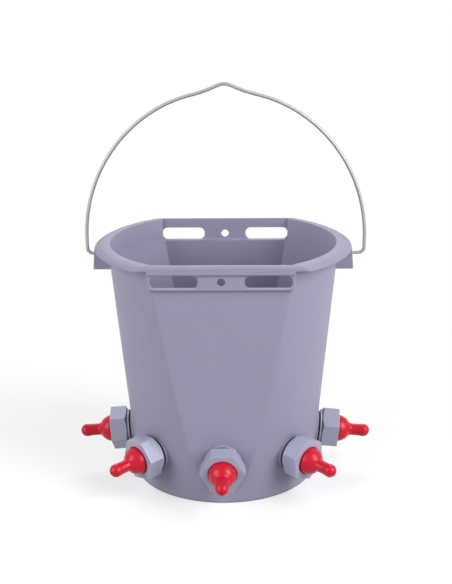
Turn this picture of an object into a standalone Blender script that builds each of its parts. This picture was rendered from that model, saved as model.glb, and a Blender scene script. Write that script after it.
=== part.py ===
"""Teat feeding bucket: a moulded bucket with two flat sides, five teat valves and a wire bail.

The origin is the middle of the underside. +Z is up, -Y is the front and +X is to the right.
All sizes are in metres.
"""
import math

import bmesh
import bpy
from mathutils import Matrix, Vector

# Bucket shell
BUCKET_HEIGHT = 0.2635
BASE_RADIUS = 0.0988
MOUTH_RADIUS = 0.1232
WALL = 0.0030
FLOOR = 0.0042
FLAT_TO_FLAT = 0.1970
BASE_EDGE_ROUND = 0.0025
INNER_CORNER_ROUND = 0.0060
FOOT_RING_WIDTH = 0.0100
CENTRE_PAD_RADIUS = 0.0300
FOOT_RECESS = 0.0012
SHELL_STEPS = 80

# Lip round the mouth
LIP_RADIUS = 0.1370
LIP_FLAT_PROUD = 0.0060
LIP_FALL = 0.0030
LIP_EDGE_HEIGHT = 0.0027
LIP_EDGE_WIDTH = 0.0024
LIP_EDGE_ROUND = 0.0011
LIP_THICKNESS = 0.0028
LIP_INNER_ROUND = 0.0032
LIP_RIDGE_WIDTH = 0.0006

# Stepped band on both flat sides, with hook slots and a hole
BAND_LENGTH = 0.1490
BAND_PROUD = 0.0035
BAND_DEPTH = 0.0263
BAND_ROOT = 0.0200
BAND_STEP = 0.0017
BAND_END_WALL = 0.0025
SKIRT_LENGTH = 0.1510
SKIRT_DEPTH = 0.0095
SLOT_LENGTH = 0.0482
SLOT_HEIGHT = 0.0140
SLOT_SPACING = 0.0950
SLOT_BELOW_TOP = 0.0175
BAND_HOLE_RADIUS = 0.00425

# Lugs that carry the bail
LUG_WIDTH = 0.0300
LUG_TOP_REACH = 0.1366
LUG_BOTTOM_REACH = 0.1385
LUG_BOTTOM_BELOW_TOP = 0.0280
LUG_WALL = 0.0028
LUG_TOP_BELOW_LIP = 0.0009
PIVOT_BELOW_TOP = 0.0140

# Wire bail
WIRE_RADIUS = 0.0020
BAIL_HALF_SPAN = 0.1481
BAIL_ARCH_START = 0.0166
BAIL_ARCH_RISE = 0.1548
BAIL_PEAK_RISE = 0.0080
BAIL_PEAK_HALF_WIDTH = 0.0260
BAIL_PEAK_SHARPNESS = 1.3
BAIL_FOOT_BEND = 0.0060
BAIL_HOOK_BEND = 0.0035
BAIL_HOOK_LENGTH = 0.0065
BAIL_HOOK_REACH = 0.1280
BAIL_SIDE_SHIFT = 0.0025
PIVOT_CLEARANCE = 0.0006
ARCH_STEPS = 32
BEND_STEPS = 3

# Teat valves, placed round the lower wall
SIDE_VALVE_DEG = 90.0
CORNER_VALVE_DEG = 46.0
VALVE_HEIGHT = 0.0477
BOSS_RADIUS = 0.0200
BOSS_PROUD = 0.0006
BOSS_THICKNESS = 0.0075
BOSS_STEPS = 32
HOLE_STEPS = 24
SMALL_HOLE_STEPS = 16
VALVE_STEPS = 16

# Small gap left between pieces that touch, and running gaps
SEAT_GAP = 0.0003
RUNNING_GAP = 0.0005

# Gasket, and valve body with its spigot, collar and stub
GASKET_THICKNESS = 0.0014
GASKET_RADIUS = 0.0170
STUB_RADIUS = 0.0110
STUB_LENGTH = 0.0195
COLLAR_THICKNESS = 0.0022
COLLAR_RADIUS = 0.0200
COLLAR_EDGE = 0.0004
SPIGOT_ROOT_RADIUS = 0.0168
THREAD_DEPTH = 0.0010
THREAD_PITCH = 0.0040
THREAD_TURNS = 2
INLET_RADIUS = 0.0035
CHAMBER_GAP = 0.0006
POCKET_WALL = 0.0022

# Cap nut outside, lock nut inside
CAP_NUT_ACROSS_FLATS = 0.0420
CAP_NUT_LENGTH = 0.0178
CAP_NUT_BACK_GAP = 0.0009
CAP_NUT_PLATE = 0.0030
CAP_NUT_CHAMFER = 0.0020
CAP_NUT_TURNS_DEG = (14.0, 40.0, 30.0, 10.0, 6.0)
LOCK_NUT_ACROSS_FLATS = 0.0320
LOCK_NUT_THICKNESS = 0.0080
LOCK_NUT_TURN_DEG = 30.0

# Teat
TEAT_BULB_RADIUS = 0.0148
TEAT_FLANGE_THICKNESS = 0.0022
TEAT_WALL = 0.0020
TEAT_NIPPLE_RADIUS = 0.0065
TEAT_TIP_RADIUS = 0.0070
TEAT_REACH = 0.0362
TEAT_NECK_ROUND = 0.0050
TEAT_NIPPLE_BORE = 0.0036
TEAT_TIP_HOLE = 0.0009

# Check ball and the perforated cup that holds it in
BALL_RADIUS = 0.0050
BALL_TRAVEL = 0.0025
RETAINER_PLATE = 0.0018
RETAINER_RIM = 0.0014
RETAINER_HOLE_RADIUS = 0.0019
RETAINER_HOLE_RING = 0.0045
RETAINER_HOLES = 4

# How far a cutter runs past what it cuts, and how points and edges are treated
OVERRUN = 0.0100
MERGE_DISTANCE = 0.00001
SHARP_DEG = 35.0

# Values worked out from the sizes above
WALL_SLOPE = (MOUTH_RADIUS - BASE_RADIUS) / BUCKET_HEIGHT
FLAT_Y = FLAT_TO_FLAT / 2
LIP_FLAT_Y = FLAT_Y + LIP_FLAT_PROUD
BAND_Y = FLAT_Y + BAND_PROUD
BAND_BOTTOM = BUCKET_HEIGHT - BAND_DEPTH
SLOT_Z = BUCKET_HEIGHT - SLOT_BELOW_TOP
PIVOT_HEIGHT = BUCKET_HEIGHT - PIVOT_BELOW_TOP
COLLAR_BACK = SEAT_GAP + GASKET_THICKNESS + SEAT_GAP
COLLAR_FRONT = COLLAR_BACK + COLLAR_THICKNESS
CAP_NUT_BACK = COLLAR_FRONT + CAP_NUT_BACK_GAP
CAP_NUT_FACE = CAP_NUT_BACK + CAP_NUT_LENGTH
PLATE_BACK = CAP_NUT_FACE - CAP_NUT_PLATE
FLANGE_FRONT = PLATE_BACK - SEAT_GAP
FLANGE_BACK = FLANGE_FRONT - TEAT_FLANGE_THICKNESS
SPIGOT_END = FLANGE_BACK - SEAT_GAP
SPIGOT_CREST_RADIUS = SPIGOT_ROOT_RADIUS + THREAD_DEPTH
CAP_NUT_BORE = SPIGOT_CREST_RADIUS + RUNNING_GAP
CAP_NUT_HOLE = TEAT_BULB_RADIUS + RUNNING_GAP
STUB_END = COLLAR_BACK - STUB_LENGTH
CHAMBER_RADIUS = BALL_RADIUS + CHAMBER_GAP
POCKET_RADIUS = SPIGOT_ROOT_RADIUS - POCKET_WALL
SEAT_APEX = -0.0010
SEAT_FOOT = SEAT_APEX + INLET_RADIUS
SEAT_TOP = SEAT_APEX + CHAMBER_RADIUS
BALL_REST = SEAT_APEX + (BALL_RADIUS + SEAT_GAP) * math.sqrt(2)
RETAINER_BACK = BALL_REST + BALL_RADIUS + BALL_TRAVEL + SEAT_GAP
POCKET_FLOOR = RETAINER_BACK - SEAT_GAP
RETAINER_RADIUS = POCKET_RADIUS - RUNNING_GAP


def outer_radius(height):
    """Radius of the outer wall at a height."""
    return BASE_RADIUS + WALL_SLOPE * height


def inner_radius(height):
    """Radius of the inner wall at a height."""
    return outer_radius(height) - WALL


def arc(centre_r, centre_z, radius, start_deg, end_deg, steps):
    """Points of an arc in the plane of a turned profile, as (radius, height)."""
    points = []
    for i in range(steps + 1):
        angle = math.radians(start_deg + (end_deg - start_deg) * i / steps)
        points.append((centre_r + radius * math.cos(angle), centre_z + radius * math.sin(angle)))
    return points


def clear_scene():
    """Remove every object of the open scene."""
    for item in list(bpy.data.objects):
        bpy.data.objects.remove(item, do_unlink=True)


def make_collection(name):
    """Add a collection to the scene."""
    group = bpy.data.collections.new(name)
    bpy.context.scene.collection.children.link(group)
    return group


def make_material(name, colour, roughness, metallic=0.0):
    """A Principled material with one colour."""
    material = bpy.data.materials.new(name)
    material.use_nodes = True
    shader = material.node_tree.nodes["Principled BSDF"]
    shader.inputs["Base Color"].default_value = (*colour, 1.0)
    shader.inputs["Roughness"].default_value = roughness
    shader.inputs["Metallic"].default_value = metallic
    material.diffuse_color = (*colour, 1.0)
    return material


def add_object(name, data, group, material=None, parent=None):
    """Put mesh or curve data into the scene as one object."""
    item = bpy.data.objects.new(name, data)
    group.objects.link(item)
    if material is not None:
        data.materials.append(material)
    if parent is not None:
        item.parent = parent
    return item


def turned(name, profile, steps, group, material=None, parent=None, closed=False):
    """A profile of (radius, height) points, turned round the local Z axis."""
    mesh = bpy.data.meshes.new(name)
    edges = [(i, i + 1) for i in range(len(profile) - 1)]
    if closed:
        edges.append((len(profile) - 1, 0))
    mesh.from_pydata([(r, 0.0, z) for r, z in profile], edges, [])
    item = add_object(name, mesh, group, material, parent)
    screw = item.modifiers.new("turn", "SCREW")
    screw.axis = "Z"
    screw.steps = steps
    screw.render_steps = steps
    screw.use_merge_vertices = True
    screw.merge_threshold = MERGE_DISTANCE
    screw.use_smooth_shade = True
    return item


def box(name, low, high, group):
    """A box between two corners."""
    mesh = bpy.data.meshes.new(name)
    shape = bmesh.new()
    bmesh.ops.create_cube(shape, size=1.0)
    size = Vector(high) - Vector(low)
    middle = (Vector(high) + Vector(low)) / 2
    placed = Matrix.Translation(middle) @ Matrix.Diagonal((*size, 1.0))
    bmesh.ops.transform(shape, matrix=placed, verts=shape.verts)
    shape.to_mesh(mesh)
    shape.free()
    return add_object(name, mesh, group)


def cylinder(name, radius, low, high, segments, group, parent=None, placed=Matrix()):
    """A cylinder or prism round the Z axis of its placing, from low to high."""
    mesh = bpy.data.meshes.new(name)
    shape = bmesh.new()
    bmesh.ops.create_cone(
        shape, cap_ends=True, segments=segments, radius1=radius, radius2=radius, depth=high - low
    )
    lift = Matrix.Translation((0.0, 0.0, (low + high) / 2))
    bmesh.ops.transform(shape, matrix=placed @ lift, verts=shape.verts)
    shape.to_mesh(mesh)
    shape.free()
    return add_object(name, mesh, group, parent=parent)


def combine(item, other, operation):
    """Join, cut or intersect with another object."""
    step = item.modifiers.new(other.name, "BOOLEAN")
    step.operation = operation
    step.object = other
    step.solver = "EXACT"


def turn_about(axis, degrees):
    """A rotation about one axis."""
    return Matrix.Rotation(math.radians(degrees), 4, axis)


def as_guide(item):
    """Mark a cutter, so that it is not part of the model."""
    item.hide_render = True
    item.display_type = "WIRE"


def make_shading_nodes():
    """Nodes that shade faces smooth, but keep every edge that turns more than SHARP_DEG."""
    group = bpy.data.node_groups.new("smooth by angle", "GeometryNodeTree")
    group.interface.new_socket("Geometry", in_out="INPUT", socket_type="NodeSocketGeometry")
    group.interface.new_socket("Geometry", in_out="OUTPUT", socket_type="NodeSocketGeometry")
    entry = group.nodes.new("NodeGroupInput")
    result = group.nodes.new("NodeGroupOutput")
    faces = group.nodes.new("GeometryNodeSetShadeSmooth")
    edges = group.nodes.new("GeometryNodeSetShadeSmooth")
    edges.domain = "EDGE"
    edges.inputs["Shade Smooth"].default_value = False
    angle = group.nodes.new("GeometryNodeInputMeshEdgeAngle")
    above = group.nodes.new("FunctionNodeCompare")
    above.operation = "GREATER_THAN"
    above.inputs["B"].default_value = math.radians(SHARP_DEG)
    group.links.new(entry.outputs["Geometry"], faces.inputs["Geometry"])
    group.links.new(faces.outputs["Geometry"], edges.inputs["Geometry"])
    group.links.new(angle.outputs["Unsigned Angle"], above.inputs["A"])
    group.links.new(above.outputs["Result"], edges.inputs["Selection"])
    group.links.new(edges.outputs["Geometry"], result.inputs["Geometry"])
    return group


def station_frame(angle_deg):
    """Placing of a valve: origin on its boss, +Z out of the wall, +Y up the wall.

    All valves point down by the slope of the round wall, so the boss on the upright
    flat stands out far enough for its lower edge to clear the wall.
    """
    angle = math.radians(angle_deg)
    outward = Vector((math.sin(angle), -math.cos(angle), 0.0))
    axis = (outward - Vector((0.0, 0.0, WALL_SLOPE))).normalized()
    reach = outer_radius(VALVE_HEIGHT) + BOSS_PROUD
    flat_reach = FLAT_Y + BOSS_PROUD + BOSS_RADIUS * WALL_SLOPE
    if reach * math.cos(angle) > flat_reach:
        reach = flat_reach / math.cos(angle)
    across = Vector((0.0, 0.0, 1.0)).cross(axis).normalized()
    up = axis.cross(across)
    frame = Matrix((across, up, axis)).transposed().to_4x4()
    frame.translation = outward * reach + Vector((0.0, 0.0, VALVE_HEIGHT))
    return frame


def wall_profile():
    """Profile of the bucket's outside as a solid turned shape."""
    edge = arc(BASE_RADIUS - BASE_EDGE_ROUND, BASE_EDGE_ROUND, BASE_EDGE_ROUND, 0.0, -90.0, 2)
    top = BUCKET_HEIGHT - LIP_THICKNESS / 2
    return [(0.0, top), (outer_radius(top), top), *edge, (0.0, 0.0)]


def lip_form(guides):
    """The lip as a turned disc: a ridge, a falling top and a small turned-down edge."""
    ridge = MOUTH_RADIUS + LIP_RIDGE_WIDTH
    edge_top = BUCKET_HEIGHT - LIP_FALL
    edge_bottom = edge_top - LIP_EDGE_HEIGHT
    profile = [
        (0.0, BUCKET_HEIGHT),
        (ridge, BUCKET_HEIGHT),
        (LIP_RADIUS - LIP_EDGE_ROUND, edge_top),
        (LIP_RADIUS, edge_top - LIP_EDGE_ROUND),
        (LIP_RADIUS, edge_bottom),
        (LIP_RADIUS - LIP_EDGE_WIDTH, edge_bottom),
        (LIP_RADIUS - LIP_EDGE_WIDTH, edge_top - LIP_THICKNESS / 2),
        (MOUTH_RADIUS, BUCKET_HEIGHT - LIP_THICKNESS),
        (0.0, BUCKET_HEIGHT - LIP_THICKNESS),
    ]
    lip = turned("lip_form", profile, SHELL_STEPS, guides)
    slab = box(
        "lip_slab",
        (-LIP_RADIUS - OVERRUN, -LIP_FLAT_Y, 0.0),
        (LIP_RADIUS + OVERRUN, LIP_FLAT_Y, BUCKET_HEIGHT + OVERRUN),
        guides,
    )
    combine(lip, slab, "INTERSECT")
    return lip


def cavity_form(guides):
    """The bucket's inside as a solid: a turned shape with the same flats, one wall in."""
    rim_low = BUCKET_HEIGHT - LIP_INNER_ROUND
    wall_r = inner_radius(rim_low)
    floor_r = inner_radius(FLOOR + INNER_CORNER_ROUND) - INNER_CORNER_ROUND
    rim = arc(wall_r + LIP_INNER_ROUND, rim_low, LIP_INNER_ROUND, 90.0, 180.0, 3)
    corner = arc(floor_r, FLOOR + INNER_CORNER_ROUND, INNER_CORNER_ROUND, 0.0, -90.0, 3)
    above = BUCKET_HEIGHT + OVERRUN
    profile = [(0.0, above), (wall_r + LIP_INNER_ROUND, above), *rim, *corner, (0.0, FLOOR)]
    cavity = turned("cavity_form", profile, SHELL_STEPS, guides)
    inner_flat = FLAT_Y - WALL
    slab = box(
        "cavity_slab",
        (-LIP_RADIUS - OVERRUN, -inner_flat, -OVERRUN),
        (LIP_RADIUS + OVERRUN, inner_flat, BUCKET_HEIGHT + 2 * OVERRUN),
        guides,
    )
    combine(cavity, slab, "INTERSECT")
    return cavity


def band_solids(side, guides):
    """The stepped band and the deeper lip skirt on one flat side; side is -1 in front.

    Both reach in past the round wall at their ends, and the cavity trims them.
    """
    inside = FLAT_Y - BAND_ROOT
    solids = []
    for name, length, face, low in (
        ("band", BAND_LENGTH, BAND_Y, BAND_BOTTOM),
        ("skirt", SKIRT_LENGTH, LIP_FLAT_Y, BUCKET_HEIGHT - SKIRT_DEPTH),
    ):
        near, far = sorted((side * inside, side * face))
        top = BUCKET_HEIGHT - LIP_THICKNESS / 2
        solids.append(
            box(f"{name}_{side}", (-length / 2, near, low), (length / 2, far, top), guides)
        )
    return solids


def band_cuts(side, guides):
    """The recess behind the band, its two hook slots and its hole."""
    near, far = sorted((side * (FLAT_Y - BAND_ROOT), side * (BAND_Y - WALL)))
    half = BAND_LENGTH / 2 - BAND_END_WALL
    cuts = [
        box(
            f"band_recess_{side}",
            (-half, near, BAND_BOTTOM + BAND_STEP),
            (half, far, BUCKET_HEIGHT + OVERRUN),
            guides,
        )
    ]
    for x in (-SLOT_SPACING / 2, SLOT_SPACING / 2):
        cuts.append(slot_cutter(f"slot_{side}_{x:.3f}", x, side, guides))
    placed = Matrix.Translation((0.0, side * FLAT_Y, SLOT_Z)) @ turn_about("X", 90.0)
    cuts.append(
        cylinder(
            f"band_hole_{side}", BAND_HOLE_RADIUS, -OVERRUN, OVERRUN, SMALL_HOLE_STEPS, guides,
            placed=placed,
        )
    )
    return cuts


def slot_cutter(name, x, side, guides):
    """A slot with round ends, as a flat outline with thickness."""
    radius = SLOT_HEIGHT / 2
    half_straight = SLOT_LENGTH / 2 - radius
    outline = []
    for centre, start in ((half_straight, -90.0), (-half_straight, 90.0)):
        for px, pz in arc(centre, 0.0, radius, start, start + 180.0, 8):
            outline.append((px, pz, 0.0))
    curve = bpy.data.curves.new(name, "CURVE")
    curve.dimensions = "2D"
    curve.fill_mode = "BOTH"
    curve.extrude = OVERRUN
    line = curve.splines.new("POLY")
    line.points.add(len(outline) - 1)
    for point, place in zip(line.points, outline):
        point.co = (*place, 1.0)
    line.use_cyclic_u = True
    flat = add_object(name + "_outline", curve, guides)
    flat.matrix_world = Matrix.Translation((x, side * FLAT_Y, SLOT_Z)) @ turn_about("X", 90.0)
    return curve_to_mesh(flat, name, guides)


def curve_to_mesh(flat, name, group):
    """Swap a curve for a mesh with its caps welded on."""
    bpy.context.view_layer.update()
    graph = bpy.context.evaluated_depsgraph_get()
    mesh = bpy.data.meshes.new_from_object(flat.evaluated_get(graph))
    shape = bmesh.new()
    shape.from_mesh(mesh)
    bmesh.ops.remove_doubles(shape, verts=shape.verts, dist=MERGE_DISTANCE)
    bmesh.ops.recalc_face_normals(shape, faces=shape.faces)
    shape.to_mesh(mesh)
    shape.free()
    mesh.name = name
    item = add_object(name, mesh, group)
    item.matrix_world = flat.matrix_world.copy()
    bpy.data.objects.remove(flat, do_unlink=True)
    return item


def lug(side, guides):
    """A lug under the lip, open below: two cheeks and an outer plate that carries the bail.

    Its top lies inside the lip and falls outwards with it, and the lip is its roof.
    """
    half = LUG_WIDTH / 2
    low = BUCKET_HEIGHT - LUG_BOTTOM_BELOW_TOP
    root = inner_radius(low)
    plate_top = BUCKET_HEIGHT - LIP_FALL - LUG_TOP_BELOW_LIP
    top_slope = LIP_FALL / (LIP_RADIUS - LIP_EDGE_ROUND - MOUTH_RADIUS - LIP_RIDGE_WIDTH)
    flare = (LUG_BOTTOM_REACH - LUG_TOP_REACH) / (plate_top - low)
    body = box(f"lug_{side}", (root, -half, low), (LUG_TOP_REACH, half, plate_top), guides)
    for vertex in body.data.vertices:
        if vertex.co.x < LUG_TOP_REACH - WALL and vertex.co.z > low + WALL:
            vertex.co.z += top_slope * (LUG_TOP_REACH - root)
        elif vertex.co.z < low + WALL and vertex.co.x > root + WALL:
            vertex.co.x = LUG_BOTTOM_REACH
    hollow = box(
        f"lug_hollow_{side}",
        (root - OVERRUN, -half + LUG_WALL, low - OVERRUN),
        (LUG_TOP_REACH - LUG_WALL, half - LUG_WALL, BUCKET_HEIGHT + OVERRUN),
        guides,
    )
    for vertex in hollow.data.vertices:
        if vertex.co.x > root:
            vertex.co.x += flare * (plate_top - vertex.co.z)
    combine(body, hollow, "DIFFERENCE")
    if side < 0:
        body.matrix_world = turn_about("Z", 180.0)
        hollow.matrix_world = turn_about("Z", 180.0)
    return body


def foot_recess(guides):
    """The shallow ring sunk into the underside between the foot ring and the centre pad."""
    outer = BASE_RADIUS - BASE_EDGE_ROUND - FOOT_RING_WIDTH
    profile = [
        (CENTRE_PAD_RADIUS + FOOT_RECESS, FOOT_RECESS),
        (outer - FOOT_RECESS, FOOT_RECESS),
        (outer, 0.0),
        (outer, -OVERRUN),
        (CENTRE_PAD_RADIUS, -OVERRUN),
        (CENTRE_PAD_RADIUS, 0.0),
    ]
    return turned("foot_recess", profile, SHELL_STEPS // 2, guides, closed=True)


def make_bucket(parts, guides, plastic, frames):
    """The one-piece moulded shell."""
    bucket = turned("bucket", wall_profile(), SHELL_STEPS, parts, plastic)
    flat_slab = box(
        "flat_slab",
        (-LIP_RADIUS - OVERRUN, -FLAT_Y, -OVERRUN),
        (LIP_RADIUS + OVERRUN, FLAT_Y, BUCKET_HEIGHT + OVERRUN),
        guides,
    )
    combine(bucket, flat_slab, "INTERSECT")
    joined = [lip_form(guides)]
    for side in (-1, 1):
        joined += band_solids(side, guides)
        joined.append(lug(side, guides))
    for solid in joined:
        combine(bucket, solid, "UNION")
    combine(bucket, cavity_form(guides), "DIFFERENCE")
    for number, frame in enumerate(frames, 1):
        boss = cylinder(
            f"boss_{number}", BOSS_RADIUS, -BOSS_THICKNESS, 0.0, BOSS_STEPS, guides, placed=frame
        )
        combine(bucket, boss, "UNION")
    cuts = [foot_recess(guides)]
    for side in (-1, 1):
        cuts += band_cuts(side, guides)
        placed = Matrix.Translation((side * LUG_TOP_REACH, 0.0, PIVOT_HEIGHT)) @ turn_about("Y", 90.0)
        cuts.append(
            cylinder(
                f"pivot_hole_{side}", WIRE_RADIUS + PIVOT_CLEARANCE, -LUG_WALL * 2, LUG_WALL * 2,
                SMALL_HOLE_STEPS, guides, placed=placed,
            )
        )
    for number, frame in enumerate(frames, 1):
        cuts.append(
            cylinder(
                f"valve_hole_{number}", STUB_RADIUS + RUNNING_GAP, -BOSS_THICKNESS - OVERRUN,
                OVERRUN, HOLE_STEPS, guides, placed=frame,
            )
        )
    for cut in cuts:
        combine(bucket, cut, "DIFFERENCE")


def arch_height(x):
    """Height of the wire above the pivot at a distance from the middle, on the arch."""
    share = min(abs(x) / BAIL_HALF_SPAN, 1.0)
    height = BAIL_ARCH_START + BAIL_ARCH_RISE * math.sqrt(1.0 - share * share)
    kink = max(1.0 - abs(x) / BAIL_PEAK_HALF_WIDTH, 0.0)
    return height + BAIL_PEAK_RISE * kink ** BAIL_PEAK_SHARPNESS


def bail_half_route():
    """Points of the wire from its hooked end to the peak, on the right-hand side."""
    hook = BAIL_HOOK_REACH
    foot = BAIL_HALF_SPAN - BAIL_FOOT_BEND
    points = [(hook, BAIL_HOOK_LENGTH)]
    points += arc(hook + BAIL_HOOK_BEND, BAIL_HOOK_BEND, BAIL_HOOK_BEND, 180.0, 270.0, BEND_STEPS)
    points += arc(foot, BAIL_FOOT_BEND, BAIL_FOOT_BEND, -90.0, 0.0, BEND_STEPS)
    for i in range(ARCH_STEPS // 2 + 1):
        angle = math.radians(90.0 * i / (ARCH_STEPS // 2))
        x = BAIL_HALF_SPAN * math.cos(angle)
        points.append((x, arch_height(x)))
    shoulder = BAIL_PEAK_HALF_WIDTH / 4
    points.insert(-1, (shoulder, arch_height(shoulder)))
    return points


def make_bail(parts, steel):
    """The galvanised wire bail, hooked into the lugs; its origin is on the pivot axis."""
    half = bail_half_route()
    route = [(x, 0.0, z) for x, z in half] + [(-x, 0.0, z) for x, z in reversed(half[:-1])]
    curve = bpy.data.curves.new("bail", "CURVE")
    curve.dimensions = "3D"
    curve.bevel_depth = WIRE_RADIUS
    curve.bevel_resolution = 2
    curve.use_fill_caps = True
    wire = curve.splines.new("POLY")
    wire.points.add(len(route) - 1)
    for point, place in zip(wire.points, route):
        point.co = (*place, 1.0)
    bail = add_object("bail", curve, parts, steel)
    bail.location = (BAIL_SIDE_SHIFT, 0.0, PIVOT_HEIGHT)


def make_gasket(number, parts, rubber, station):
    """Flat black washer between the wall's boss and the valve's collar."""
    inner = STUB_RADIUS + RUNNING_GAP
    profile = [
        (GASKET_RADIUS, SEAT_GAP + GASKET_THICKNESS),
        (GASKET_RADIUS, SEAT_GAP),
        (inner, SEAT_GAP),
        (inner, SEAT_GAP + GASKET_THICKNESS),
    ]
    turned(f"gasket_{number}", profile, VALVE_STEPS, parts, rubber, station, closed=True)


def make_valve_body(number, parts, plastic, station):
    """Threaded spigot, collar and stub in one moulding, with the ball's seat and chamber."""
    thread = []
    for turn in range(THREAD_TURNS):
        crest = SPIGOT_END - THREAD_PITCH * (turn + 0.5)
        thread += [(SPIGOT_CREST_RADIUS, crest), (SPIGOT_ROOT_RADIUS, crest - THREAD_PITCH / 2)]
    profile = [
        (POCKET_RADIUS, SPIGOT_END),
        (SPIGOT_ROOT_RADIUS, SPIGOT_END),
        *thread,
        (SPIGOT_ROOT_RADIUS, COLLAR_FRONT),
        (COLLAR_RADIUS - COLLAR_EDGE, COLLAR_FRONT),
        (COLLAR_RADIUS, COLLAR_FRONT - COLLAR_EDGE),
        (COLLAR_RADIUS, COLLAR_BACK + COLLAR_EDGE),
        (COLLAR_RADIUS - COLLAR_EDGE, COLLAR_BACK),
        (STUB_RADIUS, COLLAR_BACK),
        (STUB_RADIUS, STUB_END),
        (INLET_RADIUS, STUB_END),
        (INLET_RADIUS, SEAT_FOOT),
        (CHAMBER_RADIUS, SEAT_TOP),
        (CHAMBER_RADIUS, POCKET_FLOOR),
        (POCKET_RADIUS, POCKET_FLOOR),
    ]
    turned(f"valve_body_{number}", profile, VALVE_STEPS, parts, plastic, station, closed=True)


def make_cap_nut(number, parts, guides, plastic, station):
    """Hexagon cap nut with a chamfered back, a threaded bore and a hole for the teat."""
    corner = CAP_NUT_ACROSS_FLATS / math.sqrt(3)
    name = f"cap_nut_{number}"
    nut = cylinder(name, corner, CAP_NUT_BACK, CAP_NUT_FACE, 6, parts, station)
    nut.data.materials.append(plastic)
    nut.rotation_euler = (0.0, 0.0, math.radians(CAP_NUT_TURNS_DEG[number - 1]))
    bore = [
        (0.0, CAP_NUT_FACE + OVERRUN),
        (CAP_NUT_HOLE, CAP_NUT_FACE + OVERRUN),
        (CAP_NUT_HOLE, PLATE_BACK),
        (CAP_NUT_BORE, PLATE_BACK),
        (CAP_NUT_BORE, CAP_NUT_BACK - OVERRUN),
        (0.0, CAP_NUT_BACK - OVERRUN),
    ]
    bore_cut = turned(f"cap_bore_{number}", bore, VALVE_STEPS, guides, parent=nut)
    back = CAP_NUT_ACROSS_FLATS / 2 - SEAT_GAP
    slope = CAP_NUT_CHAMFER / (corner - back)
    far = corner + OVERRUN
    chamfer = [
        (0.0, CAP_NUT_FACE + OVERRUN),
        (far, CAP_NUT_FACE + OVERRUN),
        (far, CAP_NUT_BACK + slope * (far - back)),
        (back, CAP_NUT_BACK),
        (back, CAP_NUT_BACK - OVERRUN),
        (0.0, CAP_NUT_BACK - OVERRUN),
    ]
    chamfer_form = turned(f"cap_chamfer_{number}", chamfer, VALVE_STEPS * 2, guides, parent=nut)
    combine(nut, chamfer_form, "INTERSECT")
    combine(nut, bore_cut, "DIFFERENCE")


def make_lock_nut(number, parts, guides, plastic, station):
    """Hexagon nut on the stub inside the bucket."""
    high = -BOSS_THICKNESS - SEAT_GAP
    name = f"lock_nut_{number}"
    nut = cylinder(
        name, LOCK_NUT_ACROSS_FLATS / math.sqrt(3), high - LOCK_NUT_THICKNESS, high, 6, parts,
        station, turn_about("Z", LOCK_NUT_TURN_DEG),
    )
    nut.data.materials.append(plastic)
    hole = cylinder(
        f"lock_hole_{number}", STUB_RADIUS + RUNNING_GAP, high - LOCK_NUT_THICKNESS - OVERRUN,
        high + OVERRUN, VALVE_STEPS, guides, nut,
    )
    combine(nut, hole, "DIFFERENCE")


def teat_profile():
    """Closed profile of the hollow teat: flange, bulb, neck, nipple and a small tip hole."""
    centre = CAP_NUT_FACE
    neck_r = TEAT_NIPPLE_RADIUS + TEAT_NECK_ROUND
    between = TEAT_BULB_RADIUS + TEAT_NECK_ROUND
    neck_z = centre + math.sqrt(between ** 2 - neck_r ** 2)
    tip_z = CAP_NUT_FACE + TEAT_REACH - TEAT_TIP_RADIUS
    meet = math.degrees(math.atan2(neck_z - centre, neck_r))
    hole_deg = math.degrees(math.acos(TEAT_TIP_HOLE / TEAT_TIP_RADIUS))
    bore = TEAT_NIPPLE_BORE
    inner_bulb = TEAT_BULB_RADIUS - TEAT_WALL
    inner_meet = math.degrees(math.acos(bore / inner_bulb))
    bore_end = tip_z + math.sqrt(bore ** 2 - TEAT_TIP_HOLE ** 2)
    tip = arc(0.0, tip_z, TEAT_TIP_RADIUS, hole_deg, -30.0, 4)
    neck = arc(neck_r, neck_z, TEAT_NECK_ROUND, 180.0, 180.0 + meet, 3)
    bulb = arc(0.0, centre, TEAT_BULB_RADIUS, meet, 0.0, 3)[1:]
    inside = arc(0.0, centre, inner_bulb, 0.0, inner_meet, 2)
    return [
        *tip,
        *neck,
        *bulb,
        (TEAT_BULB_RADIUS, FLANGE_FRONT),
        (SPIGOT_CREST_RADIUS, FLANGE_FRONT),
        (SPIGOT_CREST_RADIUS, FLANGE_BACK),
        (inner_bulb, FLANGE_BACK),
        *inside,
        (bore, tip_z),
        (TEAT_TIP_HOLE, bore_end),
    ]


def make_teat(number, parts, rubber, station):
    """Soft hollow teat, clamped by its flange between the cap nut and the spigot."""
    turned(f"teat_{number}", teat_profile(), VALVE_STEPS, parts, rubber, station, closed=True)


def make_ball(number, parts, plastic, station):
    """Ball of the non-return valve, resting on its seat."""
    mesh = bpy.data.meshes.new(f"check_ball_{number}")
    shape = bmesh.new()
    bmesh.ops.create_uvsphere(shape, u_segments=12, v_segments=8, radius=BALL_RADIUS)
    shape.to_mesh(mesh)
    shape.free()
    mesh.shade_smooth()
    ball = add_object(f"check_ball_{number}", mesh, parts, plastic, station)
    ball.location = (0.0, 0.0, BALL_REST)


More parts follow.
